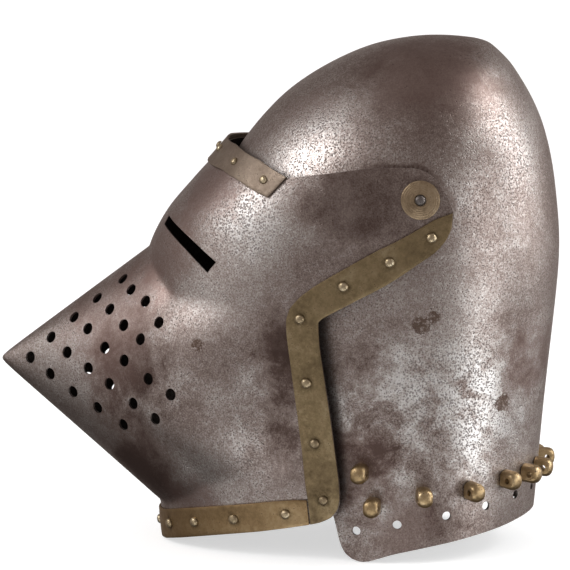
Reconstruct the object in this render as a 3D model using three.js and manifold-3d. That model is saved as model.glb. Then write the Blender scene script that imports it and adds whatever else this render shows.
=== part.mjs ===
// Hounskull bascinet: a raised steel skull and a pivoting visor with a drawn-out snout.
// Millimetres, Z up. The snout points along -Y and the wearer's left is +X. Z 0 is the floor it rests on.
import * as THREE from 'three';
import { mergeVertices } from 'three/addons/utils/BufferGeometryUtils.js';
import Module from 'manifold-3d';

const wasm = await Module();
wasm.setup();

// Driving sizes.
const HELMET_LENGTH = 375;
const HELMET_HEIGHT = 338;
const HELMET_WIDTH = 208;
const SKULL_WALL = 1.8;
const VISOR_WALL = 1.6;
const BRASS_THICKNESS = 1.2;
const BROW_THICKNESS = 1.5;
const GAP = 0.3;
const SNOUT_CLEARANCE = 0.8;
const RIVET_DIAMETER = 6.5;
const RIVET_HEIGHT = 2.4;
const RIVET_SHOULDER = { reach: 0.8, up: 0.65 };
const BROW_RIVET_DIAMETER = 5.4;
const BREATH_DIAMETER = 8;
const LINING_HOLE_DIAMETER = 5.8;
const PIN_DIAMETER = 6.6;
const PIN_CLEARANCE = 0.35;
const PIN_DOME = 2.6;
const PIN_SHOULDER = { reach: 0.75, up: 0.65 };
const PIN_HEAD = { reach: 1.7, up: 0.7 };
const WASHER_DIAMETER = 25;
const WASHER_THICKNESS = 1.2;
const WASHER_CONE = 0.9;
const WASHER_RIM = 0.75;
const VERVELLE_DIAMETER = 12.5;
const VERVELLE_WIDTH = 9.5;
const VERVELLE_LENGTH = 12;
const VERVELLE_HOLE = 3.6;

// How the vervelle's dome narrows, as shares of its radius and length, and how high its hole is.
const VERVELLE_DOME = { straight: 0.62, reach: 0.7, up: 0.92 };
const VERVELLE_HOLE_UP = 0.5;

// How far outlines that cut run past the helmet, as shares of its height and length.
const CUT_BELOW = -0.2;
const CUT_IN_FRONT = -0.1;

// How finely round things are cut.
const SKULL_SEGMENTS = 28;
const VISOR_SEGMENTS = 36;
const SNOUT_SEGMENTS = 24;
const RIVET_SEGMENTS = 7;
const PIN_SEGMENTS = 10;
const WASHER_SEGMENTS = 14;
const HOLE_SEGMENTS = 6;
const VERVELLE_SEGMENTS = 8;

// Side-view outlines. along is a share of HELMET_LENGTH from the snout's tip, up a share of HELMET_HEIGHT
// from the floor.
const VISOR_TOP_EDGE = [
  { along: 0.3928, up: 0.7914 },
  { along: 0.4461, up: 0.7828 },
  { along: 0.4968, up: 0.7612 },
  { along: 0.5421, up: 0.7402 },
  { along: 0.5861, up: 0.7464 },
  { along: 0.6221, up: 0.7518 },
  { along: 0.6597, up: 0.758 },
  { along: 0.6971, up: 0.7627 },
  { along: 0.7467, up: 0.7636 },
  { along: 0.7685, up: 0.7618 },
  { along: 0.7864, up: 0.7509 },
  { along: 0.8037, up: 0.7325 },
  { along: 0.816, up: 0.7127 },
  { along: 0.8237, up: 0.6882 },
  { along: 0.8275, up: 0.6802 },
];
const BAND_OUTER_EDGE = [
  { along: 0.8275, up: 0.6802 },
  { along: 0.824, up: 0.65 },
  { along: 0.8141, up: 0.6272 },
  { along: 0.7971, up: 0.6053 },
  { along: 0.7675, up: 0.5828 },
  { along: 0.7352, up: 0.5574 },
  { along: 0.6979, up: 0.532 },
  { along: 0.648, up: 0.503 },
  { along: 0.6099, up: 0.4799 },
  { along: 0.5981, up: 0.4716 },
  { along: 0.6, up: 0.4237 },
  { along: 0.6083, up: 0.3592 },
  { along: 0.6168, up: 0.2953 },
  { along: 0.6251, up: 0.2246 },
  { along: 0.6317, up: 0.166 },
  { along: 0.6336, up: 0.1266 },
  { along: 0.6301, up: 0.1071 },
  { along: 0.6195, up: 0.0905 },
  { along: 0.6, up: 0.0778 },
  { along: 0.5821, up: 0.0746 },
];
const BAND_INNER_EDGE = [
  { along: 0.8251, up: 0.6858 },
  { along: 0.7968, up: 0.6686 },
  { along: 0.7475, up: 0.6355 },
  { along: 0.6979, up: 0.6074 },
  { along: 0.648, up: 0.5754 },
  { along: 0.5976, up: 0.5426 },
  { along: 0.5669, up: 0.5172 },
  { along: 0.5485, up: 0.4941 },
  { along: 0.5424, up: 0.4716 },
  { along: 0.5432, up: 0.4432 },
  { along: 0.5509, up: 0.3763 },
  { along: 0.5605, up: 0.2929 },
  { along: 0.5685, up: 0.2186 },
  { along: 0.5739, up: 0.1536 },
  { along: 0.5779, up: 0.1219 },
];
const CHIN_LOWER_EDGE = [
  { along: 0.5803, up: 0.074 },
  { along: 0.54, up: 0.0648 },
  { along: 0.4925, up: 0.0541 },
  { along: 0.4176, up: 0.0391 },
  { along: 0.3869, up: 0.0317 },
  { along: 0.3448, up: 0.0195 },
  { along: 0.3109, up: 0.0065 },
  { along: 0.2888, up: 0 },
  { along: 0.2595, up: 0 },
];
const CHIN_UPPER_EDGE = [
  { along: 0.576, up: 0.1222 },
  { along: 0.5603, up: 0.1222 },
  { along: 0.5173, up: 0.1163 },
  { along: 0.4685, up: 0.1068 },
  { along: 0.3936, up: 0.092 },
  { along: 0.3093, up: 0.066 },
  { along: 0.2595, up: 0.0592 },
];
const BROW_LOWER_EDGE = [
  { along: 0.3475, up: 0.7527 },
  { along: 0.3795, up: 0.7527 },
  { along: 0.4219, up: 0.7444 },
  { along: 0.4552, up: 0.729 },
  { along: 0.5091, up: 0.7015 },
];
const BROW_UPPER_EDGE = [
  { along: 0.5429, up: 0.7411 },
  { along: 0.4952, up: 0.7686 },
  { along: 0.4456, up: 0.7911 },
  { along: 0.4128, up: 0.7991 },
  { along: 0.3475, up: 0.7991 },
];
const EYE_SLOT = [
  { along: 0.3176, up: 0.6506 },
  { along: 0.3069, up: 0.6331 },
  { along: 0.3555, up: 0.5929 },
  { along: 0.3971, up: 0.5524 },
  { along: 0.4157, up: 0.5746 },
  { along: 0.3445, up: 0.6278 },
];
const FACE_OPENING_EDGE = [
  { along: 0.2728, up: 0.7249 },
  { along: 0.4115, up: 0.7249 },
  { along: 0.4541, up: 0.713 },
  { along: 0.4915, up: 0.6805 },
  { along: 0.5048, up: 0.6154 },
  { along: 0.5101, up: 0.5325 },
  { along: 0.5288, up: 0.4438 },
  { along: 0.5581, up: 0.3254 },
  { along: 0.5875, up: 0.2071 },
  { along: 0.6088, up: 0.1183 },
  { along: 0.62, up: 0.0846 },
  { along: 0.6293, up: 0.0485 },
  { along: 0.6347, up: 0.0293 },
  { along: 0.6477, up: 0.0118 },
];
const RIM_EDGE = [
  { along: 0.6477, up: 0.0118 },
  { along: 0.6667, up: 0 },
  { along: 0.7301, up: 0.0192 },
  { along: 0.7821, up: 0.0325 },
  { along: 0.8221, up: 0.0426 },
  { along: 0.8621, up: 0.0533 },
  { along: 0.9021, up: 0.0636 },
  { along: 0.9315, up: 0.0725 },
  { along: 1.0328, up: 0.1006 },
];

// Centres of the small parts, as the same shares.
const PIVOT = { along: 0.7717, up: 0.7041 };
const SIDE_RIVETS = [
  { along: 0.7909, up: 0.6328 },
  { along: 0.7203, up: 0.5858 },
  { along: 0.6416, up: 0.5385 },
  { along: 0.5667, up: 0.4746 },
  { along: 0.5773, up: 0.3512 },
  { along: 0.5909, up: 0.2343 },
  { along: 0.6053, up: 0.1234 },
];
const CHIN_RIVETS = [
  { along: 0.3208, up: 0.042 },
  { along: 0.3717, up: 0.0574 },
  { along: 0.4456, up: 0.074 },
  { along: 0.5389, up: 0.0923 },
];
const CHIN_CENTRE_RIVET = { along: 0.29, up: 0.0305 };
const BROW_RIVETS = [
  { along: 0.5027, up: 0.7337 },
  { along: 0.4461, up: 0.7609 },
  { along: 0.4096, up: 0.7772 },
];
const BROW_CENTRE_RIVET = { along: 0.4, up: 0.7785 };
const LINING = [
  { along: 0.66, up: 0.0612 },
  { along: 0.7315, up: 0.0763 },
  { along: 0.8157, up: 0.092 },
  { along: 0.8816, up: 0.1047 },
  { along: 0.9307, up: 0.116 },
  { along: 0.9571, up: 0.1216 },
];

// Skull rings. front and back are shares of HELMET_LENGTH from the snout's tip, frontUp and backUp shares
// of HELMET_HEIGHT, half a share of half HELMET_WIDTH, widest where the ring is widest, as a share of its
// depth from the front. A ring may tilt, front to back.
const SKULL_RINGS = [
  { front: 0.4968, frontUp: -0.0592, back: 0.9448, backUp: -0.0592, half: 0.8269, widest: 0.5 },
  { front: 0.4915, frontUp: 0, back: 0.9515, backUp: 0, half: 0.8365, widest: 0.5 },
  { front: 0.4755, frontUp: 0.0888, back: 0.9608, backUp: 0.0888, half: 0.8529, widest: 0.51 },
  { front: 0.4595, frontUp: 0.1775, back: 0.9675, backUp: 0.1775, half: 0.8702, widest: 0.52 },
  { front: 0.4275, frontUp: 0.3254, back: 0.9795, backUp: 0.3254, half: 0.9038, widest: 0.54 },
  { front: 0.4008, frontUp: 0.4734, back: 0.9933, backUp: 0.4734, half: 0.9423, widest: 0.56 },
  { front: 0.3821, frontUp: 0.5917, back: 1, backUp: 0.5976, half: 0.9615, widest: 0.58 },
  { front: 0.3901, frontUp: 0.6805, back: 0.9944, backUp: 0.6834, half: 0.9567, widest: 0.58 },
  { front: 0.4115, frontUp: 0.7396, back: 0.9869, backUp: 0.7456, half: 0.9356, widest: 0.58 },
  { front: 0.4432, frontUp: 0.7979, back: 0.9757, backUp: 0.8018, half: 0.8894, widest: 0.58 },
  { front: 0.4861, frontUp: 0.8553, back: 0.9603, backUp: 0.8521, half: 0.8029, widest: 0.57 },
  { front: 0.5189, frontUp: 0.8902, back: 0.9461, backUp: 0.8846, half: 0.7356, widest: 0.57 },
  { front: 0.568, frontUp: 0.9287, back: 0.9288, backUp: 0.9172, half: 0.6442, widest: 0.56 },
  { front: 0.6176, frontUp: 0.9583, back: 0.9133, backUp: 0.9426, half: 0.5385, widest: 0.55 },
  { front: 0.6669, frontUp: 0.9802, back: 0.9003, backUp: 0.9592, half: 0.4183, widest: 0.54 },
  { front: 0.7157, frontUp: 0.9929, back: 0.8893, backUp: 0.971, half: 0.2981, widest: 0.53 },
  { front: 0.7661, frontUp: 0.9991, back: 0.8795, backUp: 0.9805, half: 0.1875, widest: 0.52 },
  { front: 0.8088, frontUp: 0.9985, back: 0.8675, backUp: 0.9882, half: 0.0962, widest: 0.5 },
];
const SKULL_APEX = { along: 0.846, up: 0.9955 };

// Level rings of the visor's face plate, around a widest line at VISOR_WIDEST.
const VISOR_RINGS = [
  { up: -0.0592, front: 0.3021, half: 0.8462 },
  { up: 0, front: 0.2955, half: 0.8558 },
  { up: 0.0355, front: 0.2915, half: 0.8683 },
  { up: 0.074, front: 0.2928, half: 0.8798 },
  { up: 0.1331, front: 0.2755, half: 0.8971 },
  { up: 0.2071, front: 0.2621, half: 0.9154 },
  { up: 0.2959, front: 0.2541, half: 0.9423 },
  { up: 0.3846, front: 0.2496, half: 0.9635 },
  { up: 0.4734, front: 0.2515, half: 0.9827 },
  { up: 0.5473, front: 0.2635, half: 0.9952 },
  { up: 0.5917, front: 0.2747, half: 1 },
  { up: 0.6331, front: 0.2925, half: 1.0038 },
  { up: 0.6686, front: 0.3136, half: 1.0048 },
  { up: 0.7041, front: 0.3411, half: 1.0019 },
  { up: 0.7308, front: 0.3624, half: 0.9971 },
  { up: 0.7544, front: 0.3821, half: 0.9894 },
  { up: 0.7781, front: 0.4008, half: 0.9769 },
  { up: 0.8018, front: 0.4195, half: 0.9596 },
  { up: 0.8402, front: 0.4515, half: 0.9231 },
];
const VISOR_WIDEST = 0.7048;
const VISOR_BACK_SHARE = 0.5067;
const VISOR_FULLNESS = 2.15;

// The snout is a cone with an oval section. Slopes are widths gained per length from the tip.
const SNOUT_TIP_UP = 0.3497;
const SNOUT_LENGTH_SHARE = 0.432;
const SNOUT_DROOP = 0.0465;
const SNOUT_RISE = 0.79;
const SNOUT_SPREAD = 0.58;
const SNOUT_TIP_ROUNDING = 3;
const SNOUT_INNER_SHIFT = 2;

// The oval grows squarer towards the face, and its widening eases off from this share of the length on.
const SNOUT_SQUARENESS = 0.32;
const SNOUT_EASE_FROM = 0.648;
const SNOUT_EASE = 0.8;
const SNOUT_STATIONS = [0.004, 0.02, 0.08, 0.6, 0.8, 1];

// Breath holes. from is a share of the snout's length from the tip, turn the angle up round the cone from
// its side, in degrees. rightFrom and rightTurn say how far the hand-punched holes on the right are off.
const BREATH_HOLES = [
  { from: 0.537, turn: 59.7, rightFrom: 0, rightTurn: 0 },
  { from: 0.427, turn: 55.9, rightFrom: 0, rightTurn: 0 },
  { from: 0.328, turn: 48.5, rightFrom: 0, rightTurn: 0 },
  { from: 0.227, turn: 36, rightFrom: 0, rightTurn: 0 },
  { from: 0.134, turn: 9.9, rightFrom: 0.003, rightTurn: 1.5 },
  { from: 0.583, turn: 45.9, rightFrom: 0, rightTurn: 0 },
  { from: 0.492, turn: 39.2, rightFrom: -0.012, rightTurn: -1.2 },
  { from: 0.396, turn: 30.6, rightFrom: -0.006, rightTurn: -0.7 },
  { from: 0.305, turn: 14.1, rightFrom: 0, rightTurn: 0 },
  { from: 0.226, turn: -9.7, rightFrom: 0, rightTurn: 0 },
  { from: 0.653, turn: 34.5, rightFrom: 0, rightTurn: 0 },
  { from: 0.56, turn: 25.5, rightFrom: -0.013, rightTurn: -2.6 },
  { from: 0.477, turn: 14.7, rightFrom: 0.001, rightTurn: -3.8 },
  { from: 0.403, turn: 2.1, rightFrom: 0.01, rightTurn: -1.4 },
  { from: 0.33, turn: -19.1, rightFrom: 0, rightTurn: 0 },
  { from: 0.721, turn: 22.3, rightFrom: 0, rightTurn: 0 },
  { from: 0.641, turn: 16.5, rightFrom: 0.002, rightTurn: 0.1 },
  { from: 0.567, turn: 7.4, rightFrom: 0.011, rightTurn: 0.5 },
  { from: 0.499, turn: -4.1, rightFrom: 0.01, rightTurn: -0.8 },
  { from: 0.441, turn: -22, rightFrom: 0, rightTurn: 0 },
  { from: 0.678, turn: 0.9, rightFrom: 0, rightTurn: 0 },
  { from: 0.606, turn: -10, rightFrom: 0.005, rightTurn: 0 },
  { from: 0.556, turn: -24.1, rightFrom: 0, rightTurn: 0 },
  { from: 0.778, turn: -2.4, rightFrom: 0, rightTurn: 0 },
  { from: 0.706, turn: -12.8, rightFrom: 0, rightTurn: 0 },
];

// Vervelles on one side. turn is the angle round the neck from the back, in degrees, up a share of
// HELMET_HEIGHT.
const VERVELLES = [
  { turn: 103, up: 0.1769 },
  { turn: 98, up: 0.1127 },
  { turn: 77.5, up: 0.1331 },
  { turn: 57, up: 0.1393 },
  { turn: 38.5, up: 0.1533 },
  { turn: 24.5, up: 0.1565 },
  { turn: 11.5, up: 0.16 },
];
const NECK_CENTRE = 0.724;

const HALF_WIDTH = HELMET_WIDTH / 2;
const SNOUT_LENGTH = SNOUT_LENGTH_SHARE * HELMET_LENGTH;
const SIDES = [
  { name: 'left', sign: 1 },
  { name: 'right', sign: -1 },
];

const COLOURS = {
  steel: { color: 0x8a827c, roughness: 0.42, metalness: 0.9 },
  visorSteel: { color: 0x857a73, roughness: 0.45, metalness: 0.9 },
  brass: { color: 0x7a6844, roughness: 0.5, metalness: 0.85 },
  chinBrass: { color: 0x8c744a, roughness: 0.45, metalness: 0.85 },
  browBrass: { color: 0x857562, roughness: 0.5, metalness: 0.85 },
  rivet: { color: 0xb8a67c, roughness: 0.4, metalness: 0.9 },
  vervelle: { color: 0xa5875a, roughness: 0.4, metalness: 0.9 },
  washer: { color: 0x968265, roughness: 0.4, metalness: 0.9 },
  pin: { color: 0x5a5555, roughness: 0.45, metalness: 0.9 },
};

const alongY = (along) => (along - 0.5) * HELMET_LENGTH;
const upZ = (up) => up * HELMET_HEIGHT;
const sidePoint = (share) => ({ y: alongY(share.along), z: upZ(share.up) });

const group = new THREE.Group();
group.name = 'hounskull_bascinet';

function toSolid(geometry) {
  const bare = geometry.clone();
  bare.deleteAttribute('normal');
  bare.deleteAttribute('uv');
  const merged = mergeVertices(bare, 1e-4);
  const mesh = new wasm.Mesh({
    numProp: 3,
    vertProperties: new Float32Array(merged.attributes.position.array),
    triVerts: new Uint32Array(merged.index.array),
  });
  return new wasm.Manifold(mesh);
}

function toGeometry(solid) {
  const mesh = solid.getMesh();
  const geometry = new THREE.BufferGeometry();
  const stride = mesh.numProp;
  const positions = new Float32Array(mesh.vertProperties.length / stride * 3);
  for (let i = 0; i < positions.length / 3; i += 1) {
    for (let k = 0; k < 3; k += 1) {
      positions[i * 3 + k] = mesh.vertProperties[i * stride + k];
    }
  }
  geometry.setAttribute('position', new THREE.BufferAttribute(positions, 3));
  geometry.setIndex(new THREE.BufferAttribute(new Uint32Array(mesh.triVerts), 1));
  geometry.computeVertexNormals();
  return geometry;
}

function addPiece(name, geometry, look) {
  const material = new THREE.MeshStandardMaterial({ ...look, flatShading: true });
  material.name = name;
  const mesh = new THREE.Mesh(geometry, material);
  mesh.name = name;
  group.add(mesh);
}

// A closed solid from a stack of rings of equal length, each end closed on a point of its own.
function ringsGeometry(rings, startPoint, endPoint) {
  const count = rings[0].length;
  const positions = [];
  const indices = [];
  for (const ring of rings) {
    for (const point of ring) {
      positions.push(point.x, point.y, point.z);
    }
  }
  for (let j = 0; j + 1 < rings.length; j += 1) {
    for (let i = 0; i < count; i += 1) {
      const next = (i + 1) % count;
      const a = j * count + i;
      const b = j * count + next;
      const c = (j + 1) * count + next;
      const d = (j + 1) * count + i;
      indices.push(a, b, c, a, c, d);
    }
  }
  const start = positions.length / 3;
  positions.push(startPoint.x, startPoint.y, startPoint.z);
  positions.push(endPoint.x, endPoint.y, endPoint.z);
  const last = (rings.length - 1) * count;
  for (let i = 0; i < count; i += 1) {
    const next = (i + 1) % count;
    indices.push(start, next, i);
    indices.push(start + 1, last + i, last + next);
  }
  const geometry = new THREE.BufferGeometry();
  geometry.setAttribute('position', new THREE.BufferAttribute(new Float32Array(positions), 3));
  geometry.setIndex(indices);
  return geometry;
}

// Moves every point of a stack of closed rings out along the surface's normal.
function offsetRings(rings, distance) {
  const count = rings[0].length;
  return rings.map((ring, j) => ring.map((point, i) => {
    const before = ring[(i + count - 1) % count];
    const after = ring[(i + 1) % count];
    const lower = rings[Math.max(0, j - 1)][i];
    const upper = rings[Math.min(rings.length - 1, j + 1)][i];
    const around = new THREE.Vector3().subVectors(after, before);
    const up = new THREE.Vector3().subVectors(upper, lower);
    const normal = around.cross(up).normalize();
    return point.clone().addScaledVector(normal, distance);
  }));
}

// A plate with this side-view outline, right through the helmet or on one side of it.
function sidePrism(outline, fromX, toX) {
  const shape = new THREE.Shape(outline.map((p) => new THREE.Vector2(p.y, p.z)));
  const geometry = new THREE.ExtrudeGeometry(shape, { depth: toX - fromX, bevelEnabled: false, steps: 1 });
  const turn = new THREE.Matrix4().makeBasis(
    new THREE.Vector3(0, 1, 0),
    new THREE.Vector3(0, 0, 1),
    new THREE.Vector3(1, 0, 0),
  );
  geometry.applyMatrix4(turn);
  geometry.translate(fromX, 0, 0);
  return toSolid(geometry);
}

// Places a piece made along +Z from z 0 so that it stands on a point and looks along a direction.
function stand(geometry, point, direction) {
  const turn = new THREE.Quaternion().setFromUnitVectors(new THREE.Vector3(0, 0, 1), direction);
  geometry.applyQuaternion(turn);
  geometry.translate(point.x, point.y, point.z);
  return geometry;
}

function lathe(profile, segments) {
  const points = profile.map(([radius, height]) => new THREE.Vector2(radius, height));
  const geometry = new THREE.LatheGeometry(points, segments);
  geometry.rotateX(Math.PI / 2);
  return geometry;
}

function drill(diameter, length, point, direction, segments = HOLE_SEGMENTS) {
  const radius = diameter / 2;
  const half = length / 2;
  const profile = [[0, -half], [radius, -half], [radius, half], [0, half]];
  return toSolid(stand(lathe(profile, segments), point, direction));
}

// Skull surface.
const skullRings = SKULL_RINGS.map((row) => {
  const front = { y: alongY(row.front), z: upZ(row.frontUp) };
  const back = { y: alongY(row.back), z: upZ(row.backUp) };
  const half = row.half * HALF_WIDTH;
  const ring = [];
  for (let i = 0; i < SKULL_SEGMENTS; i += 1) {
    const angle = i / SKULL_SEGMENTS * Math.PI * 2;
    const c = Math.cos(angle);
    const lean = row.widest - c * (c > 0 ? row.widest : 1 - row.widest);
    const y = front.y + (back.y - front.y) * lean;
    const z = front.z + (back.z - front.z) * lean;
    ring.push(new THREE.Vector3(half * Math.sin(angle), y, z));
  }
  return ring;
});
const apex = sidePoint(SKULL_APEX);
const skullTop = new THREE.Vector3(0, apex.y, apex.z);
const ringMiddle = (ring) => {
  const sum = ring.reduce((total, point) => total.add(point), new THREE.Vector3());
  return sum.multiplyScalar(1 / ring.length);
};

function skullSolid(distance) {
  const rings = offsetRings(skullRings, distance);
  const top = skullTop.clone().add(new THREE.Vector3(0, 0, distance));
  return toSolid(ringsGeometry(rings, ringMiddle(rings[0]), top));
}

// The skull's level section at a height, read off its rings.
function skullLevel(z) {
  const up = z / HELMET_HEIGHT;
  let index = 0;
  while (index < SKULL_RINGS.length - 2 && SKULL_RINGS[index + 1].frontUp < up) {
    index += 1;
  }
  const low = SKULL_RINGS[index];
  const high = SKULL_RINGS[index + 1];
  const share = (up - low.frontUp) / (high.frontUp - low.frontUp);
  const mix = (key) => low[key] + (high[key] - low[key]) * share;
  const front = alongY(mix('front'));
  const back = alongY(mix('back'));
  const middle = front + (back - front) * mix('widest');
  return { middle, front: middle - front, back: back - middle, half: mix('half') * HALF_WIDTH };
}

const lengthShare = (level, y) => (y - level.middle) / (y < level.middle ? level.front : level.back);

function skullHalf(y, z) {
  const level = skullLevel(z);
  const share = lengthShare(level, y);
  return level.half * Math.sqrt(Math.max(0, 1 - share * share));
}

// 0 on the skull's surface, above 0 outside it.
function outsideSkull(point) {
  const level = skullLevel(point.z);
  return lengthShare(level, point.y) ** 2 + (point.x / level.half) ** 2 - 1;
}

// Where a level ray from an inner point leaves the skull, and the way out of the surface there.
function skullSeat(start, ray) {
  let near = 0;
  let far = HELMET_LENGTH;
  for (let pass = 0; pass < 50; pass += 1) {
    const middle = (near + far) / 2;
    if (outsideSkull(start.clone().addScaledVector(ray, middle)) > 0) {
      far = middle;
    } else {
      near = middle;
    }
  }
  const point = start.clone().addScaledVector(ray, near);
  const slope = (axis) => {
    const step = new THREE.Vector3().setComponent(axis, 0.5);
    return outsideSkull(point.clone().add(step)) - outsideSkull(point.clone().sub(step));
  };
  return { point, normal: new THREE.Vector3(slope(0), slope(1), slope(2)).normalize() };
}

// Visor surfaces: the face plate and the snout.
const widestY = alongY(VISOR_WIDEST);
const visorBack = VISOR_BACK_SHARE * HELMET_LENGTH;
const visorRings = VISOR_RINGS.map((row) => {
  const reachFront = widestY - alongY(row.front);
  const half = row.half * HALF_WIDTH;
  const power = 2 / VISOR_FULLNESS;
  const ring = [];
  for (let i = 0; i < VISOR_SEGMENTS; i += 1) {
    const angle = i / VISOR_SEGMENTS * Math.PI * 2;
    const c = Math.cos(angle);
    const s = Math.sin(angle);
    const reach = c > 0 ? reachFront : visorBack;
    const y = widestY - Math.sign(c) * reach * Math.abs(c) ** power;
    const x = Math.sign(s) * half * Math.abs(s) ** power;
    ring.push(new THREE.Vector3(x, y, upZ(row.up)));
  }
  return ring;
});

function faceSolid(distance) {
  const rings = offsetRings(visorRings, distance);
  return toSolid(ringsGeometry(rings, ringMiddle(rings[0]), ringMiddle(rings[rings.length - 1])));
}

// The face plate's level section at a height: where its front is and half its width.
function faceLevel(z) {
  const up = z / HELMET_HEIGHT;
  let index = 0;
  while (index < VISOR_RINGS.length - 2 && VISOR_RINGS[index + 1].up < up) {
    index += 1;
  }
  const low = VISOR_RINGS[index];
  const high = VISOR_RINGS[index + 1];
  const share = (up - low.up) / (high.up - low.up);
  const front = alongY(low.front + (high.front - low.front) * share);
  return { front, half: (low.half + (high.half - low.half) * share) * HALF_WIDTH };
}

function faceHalf(y, z) {
  const { front, half } = faceLevel(z);
  const reach = y < widestY ? (widestY - y) / (widestY - front) : (y - widestY) / visorBack;
  return half * Math.max(0, 1 - reach ** VISOR_FULLNESS) ** (1 / VISOR_FULLNESS);
}

// A point on a half-width surface and the way out of it there.
function onSurface(halfAt, side, y, z) {
  const step = 0.5;
  const slopeY = (halfAt(y + step, z) - halfAt(y - step, z)) / (2 * step);
  const slopeZ = (halfAt(y, z + step) - halfAt(y, z - step)) / (2 * step);
  const point = new THREE.Vector3(side * halfAt(y, z), y, z);
  const normal = new THREE.Vector3(side, -slopeY, -slopeZ).normalize();
  return { point, normal };
}

const snoutTip = { y: -HELMET_LENGTH / 2, z: upZ(SNOUT_TIP_UP) };

function snoutSpread(from) {
  const past = Math.max(0, from - SNOUT_EASE_FROM * SNOUT_LENGTH);
  const eased = from - past * past / (SNOUT_EASE * SNOUT_LENGTH);
  return Math.sqrt(eased * eased + 2 * SNOUT_TIP_ROUNDING * eased);
}

function snoutPoint(from, angle) {
  const spread = snoutSpread(from);
  const power = 2 / (2 + SNOUT_SQUARENESS * Math.min(1, from / SNOUT_LENGTH));
  const squared = (share) => Math.sign(share) * Math.abs(share) ** power;
  return new THREE.Vector3(
    SNOUT_SPREAD * spread * squared(Math.cos(angle)),
    snoutTip.y + from,
    snoutTip.z - SNOUT_DROOP * from + SNOUT_RISE * spread * squared(Math.sin(angle)),
  );
}

function snoutSolid(shift) {
  const stations = SNOUT_STATIONS.map((share) => share * SNOUT_LENGTH);
  const rings = stations.map((from) => {
    const ring = [];
    for (let i = 0; i < SNOUT_SEGMENTS; i += 1) {
      const angle = i / SNOUT_SEGMENTS * Math.PI * 2;
      ring.push(snoutPoint(from, -angle).add(new THREE.Vector3(0, shift, 0)));
    }
    return ring;
  });
  const tip = new THREE.Vector3(0, snoutTip.y + shift, snoutTip.z);
  return toSolid(ringsGeometry(rings, tip, ringMiddle(rings[rings.length - 1])));
}

function snoutNormal(from, angle) {
  const step = 0.01;
  const along = snoutPoint(from + step, angle).sub(snoutPoint(from - step, angle));
  const around = snoutPoint(from, angle + step).sub(snoutPoint(from, angle - step));
  return along.cross(around).normalize().negate();
}

// Skull: the bowl, opened for the face, trimmed to its sloping rim and drilled.
const FAR = HELMET_LENGTH;
const pivot = sidePoint(PIVOT);
const across = new THREE.Vector3(1, 0, 0);
const faceEdge = FACE_OPENING_EDGE.map(sidePoint);
const rimEdge = RIM_EDGE.map(sidePoint);
const below = upZ(CUT_BELOW);
const cutAway = [
  ...faceEdge,
  ...rimEdge.slice(1),
  { y: rimEdge[rimEdge.length - 1].y, z: below },
  { y: faceEdge[0].y, z: below },
];
let skull = skullSolid(0).subtract(skullSolid(-SKULL_WALL)).subtract(sidePrism(cutAway, -FAR, FAR));
for (const side of SIDES) {
  for (const share of LINING) {
    const { y, z } = sidePoint(share);
    const { point, normal } = onSurface(skullHalf, side.sign, y, z);
    skull = skull.subtract(drill(LINING_HOLE_DIAMETER, VERVELLE_LENGTH, point, normal));
  }
}
const pinLine = new THREE.Vector3(0, pivot.y, pivot.z);
const pinHole = drill(PIN_DIAMETER + 2 * PIN_CLEARANCE, 2 * FAR, pinLine, across, PIN_SEGMENTS);
skull = skull.subtract(pinHole);
addPiece('skull', toGeometry(skull), COLOURS.steel);

// Visor: face plate and snout in one, trimmed to its outline, with eye slots, breath holes and pin holes.
const chinLower = CHIN_LOWER_EDGE.map(sidePoint);
const inFront = alongY(CUT_IN_FRONT);
const visorOutline = [
  ...VISOR_TOP_EDGE.map(sidePoint),
  ...BAND_OUTER_EDGE.slice(1, -1).map(sidePoint),
  ...chinLower.slice(0, -1),
  { y: inFront, z: 0 },
  { y: inFront, z: upZ(VISOR_TOP_EDGE[0].up) },
];
const visorOuter = faceSolid(0).add(snoutSolid(0));
const visorInner = faceSolid(-VISOR_WALL).add(snoutSolid(SNOUT_INNER_SHIFT * VISOR_WALL));
let visor = visorOuter.subtract(visorInner).intersect(sidePrism(visorOutline, -FAR, FAR));
const slotOutline = EYE_SLOT.map(sidePoint);
visor = visor.subtract(sidePrism(slotOutline, BREATH_DIAMETER, FAR));
visor = visor.subtract(sidePrism(slotOutline, -FAR, -BREATH_DIAMETER));
for (const side of SIDES) {
  for (const hole of BREATH_HOLES) {
    const right = side.sign < 0;
    const from = (hole.from + (right ? hole.rightFrom : 0)) * SNOUT_LENGTH;
    const angle = THREE.MathUtils.degToRad(hole.turn + (right ? hole.rightTurn : 0));
    const point = snoutPoint(from, angle);
    const normal = snoutNormal(from, angle);
    point.x *= side.sign;
    normal.x *= side.sign;
    visor = visor.subtract(drill(BREATH_DIAMETER, BREATH_DIAMETER, point, normal));
  }
}
visor = visor.subtract(pinHole);
addPiece('visor', toGeometry(visor), COLOURS.visorSteel);

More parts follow.
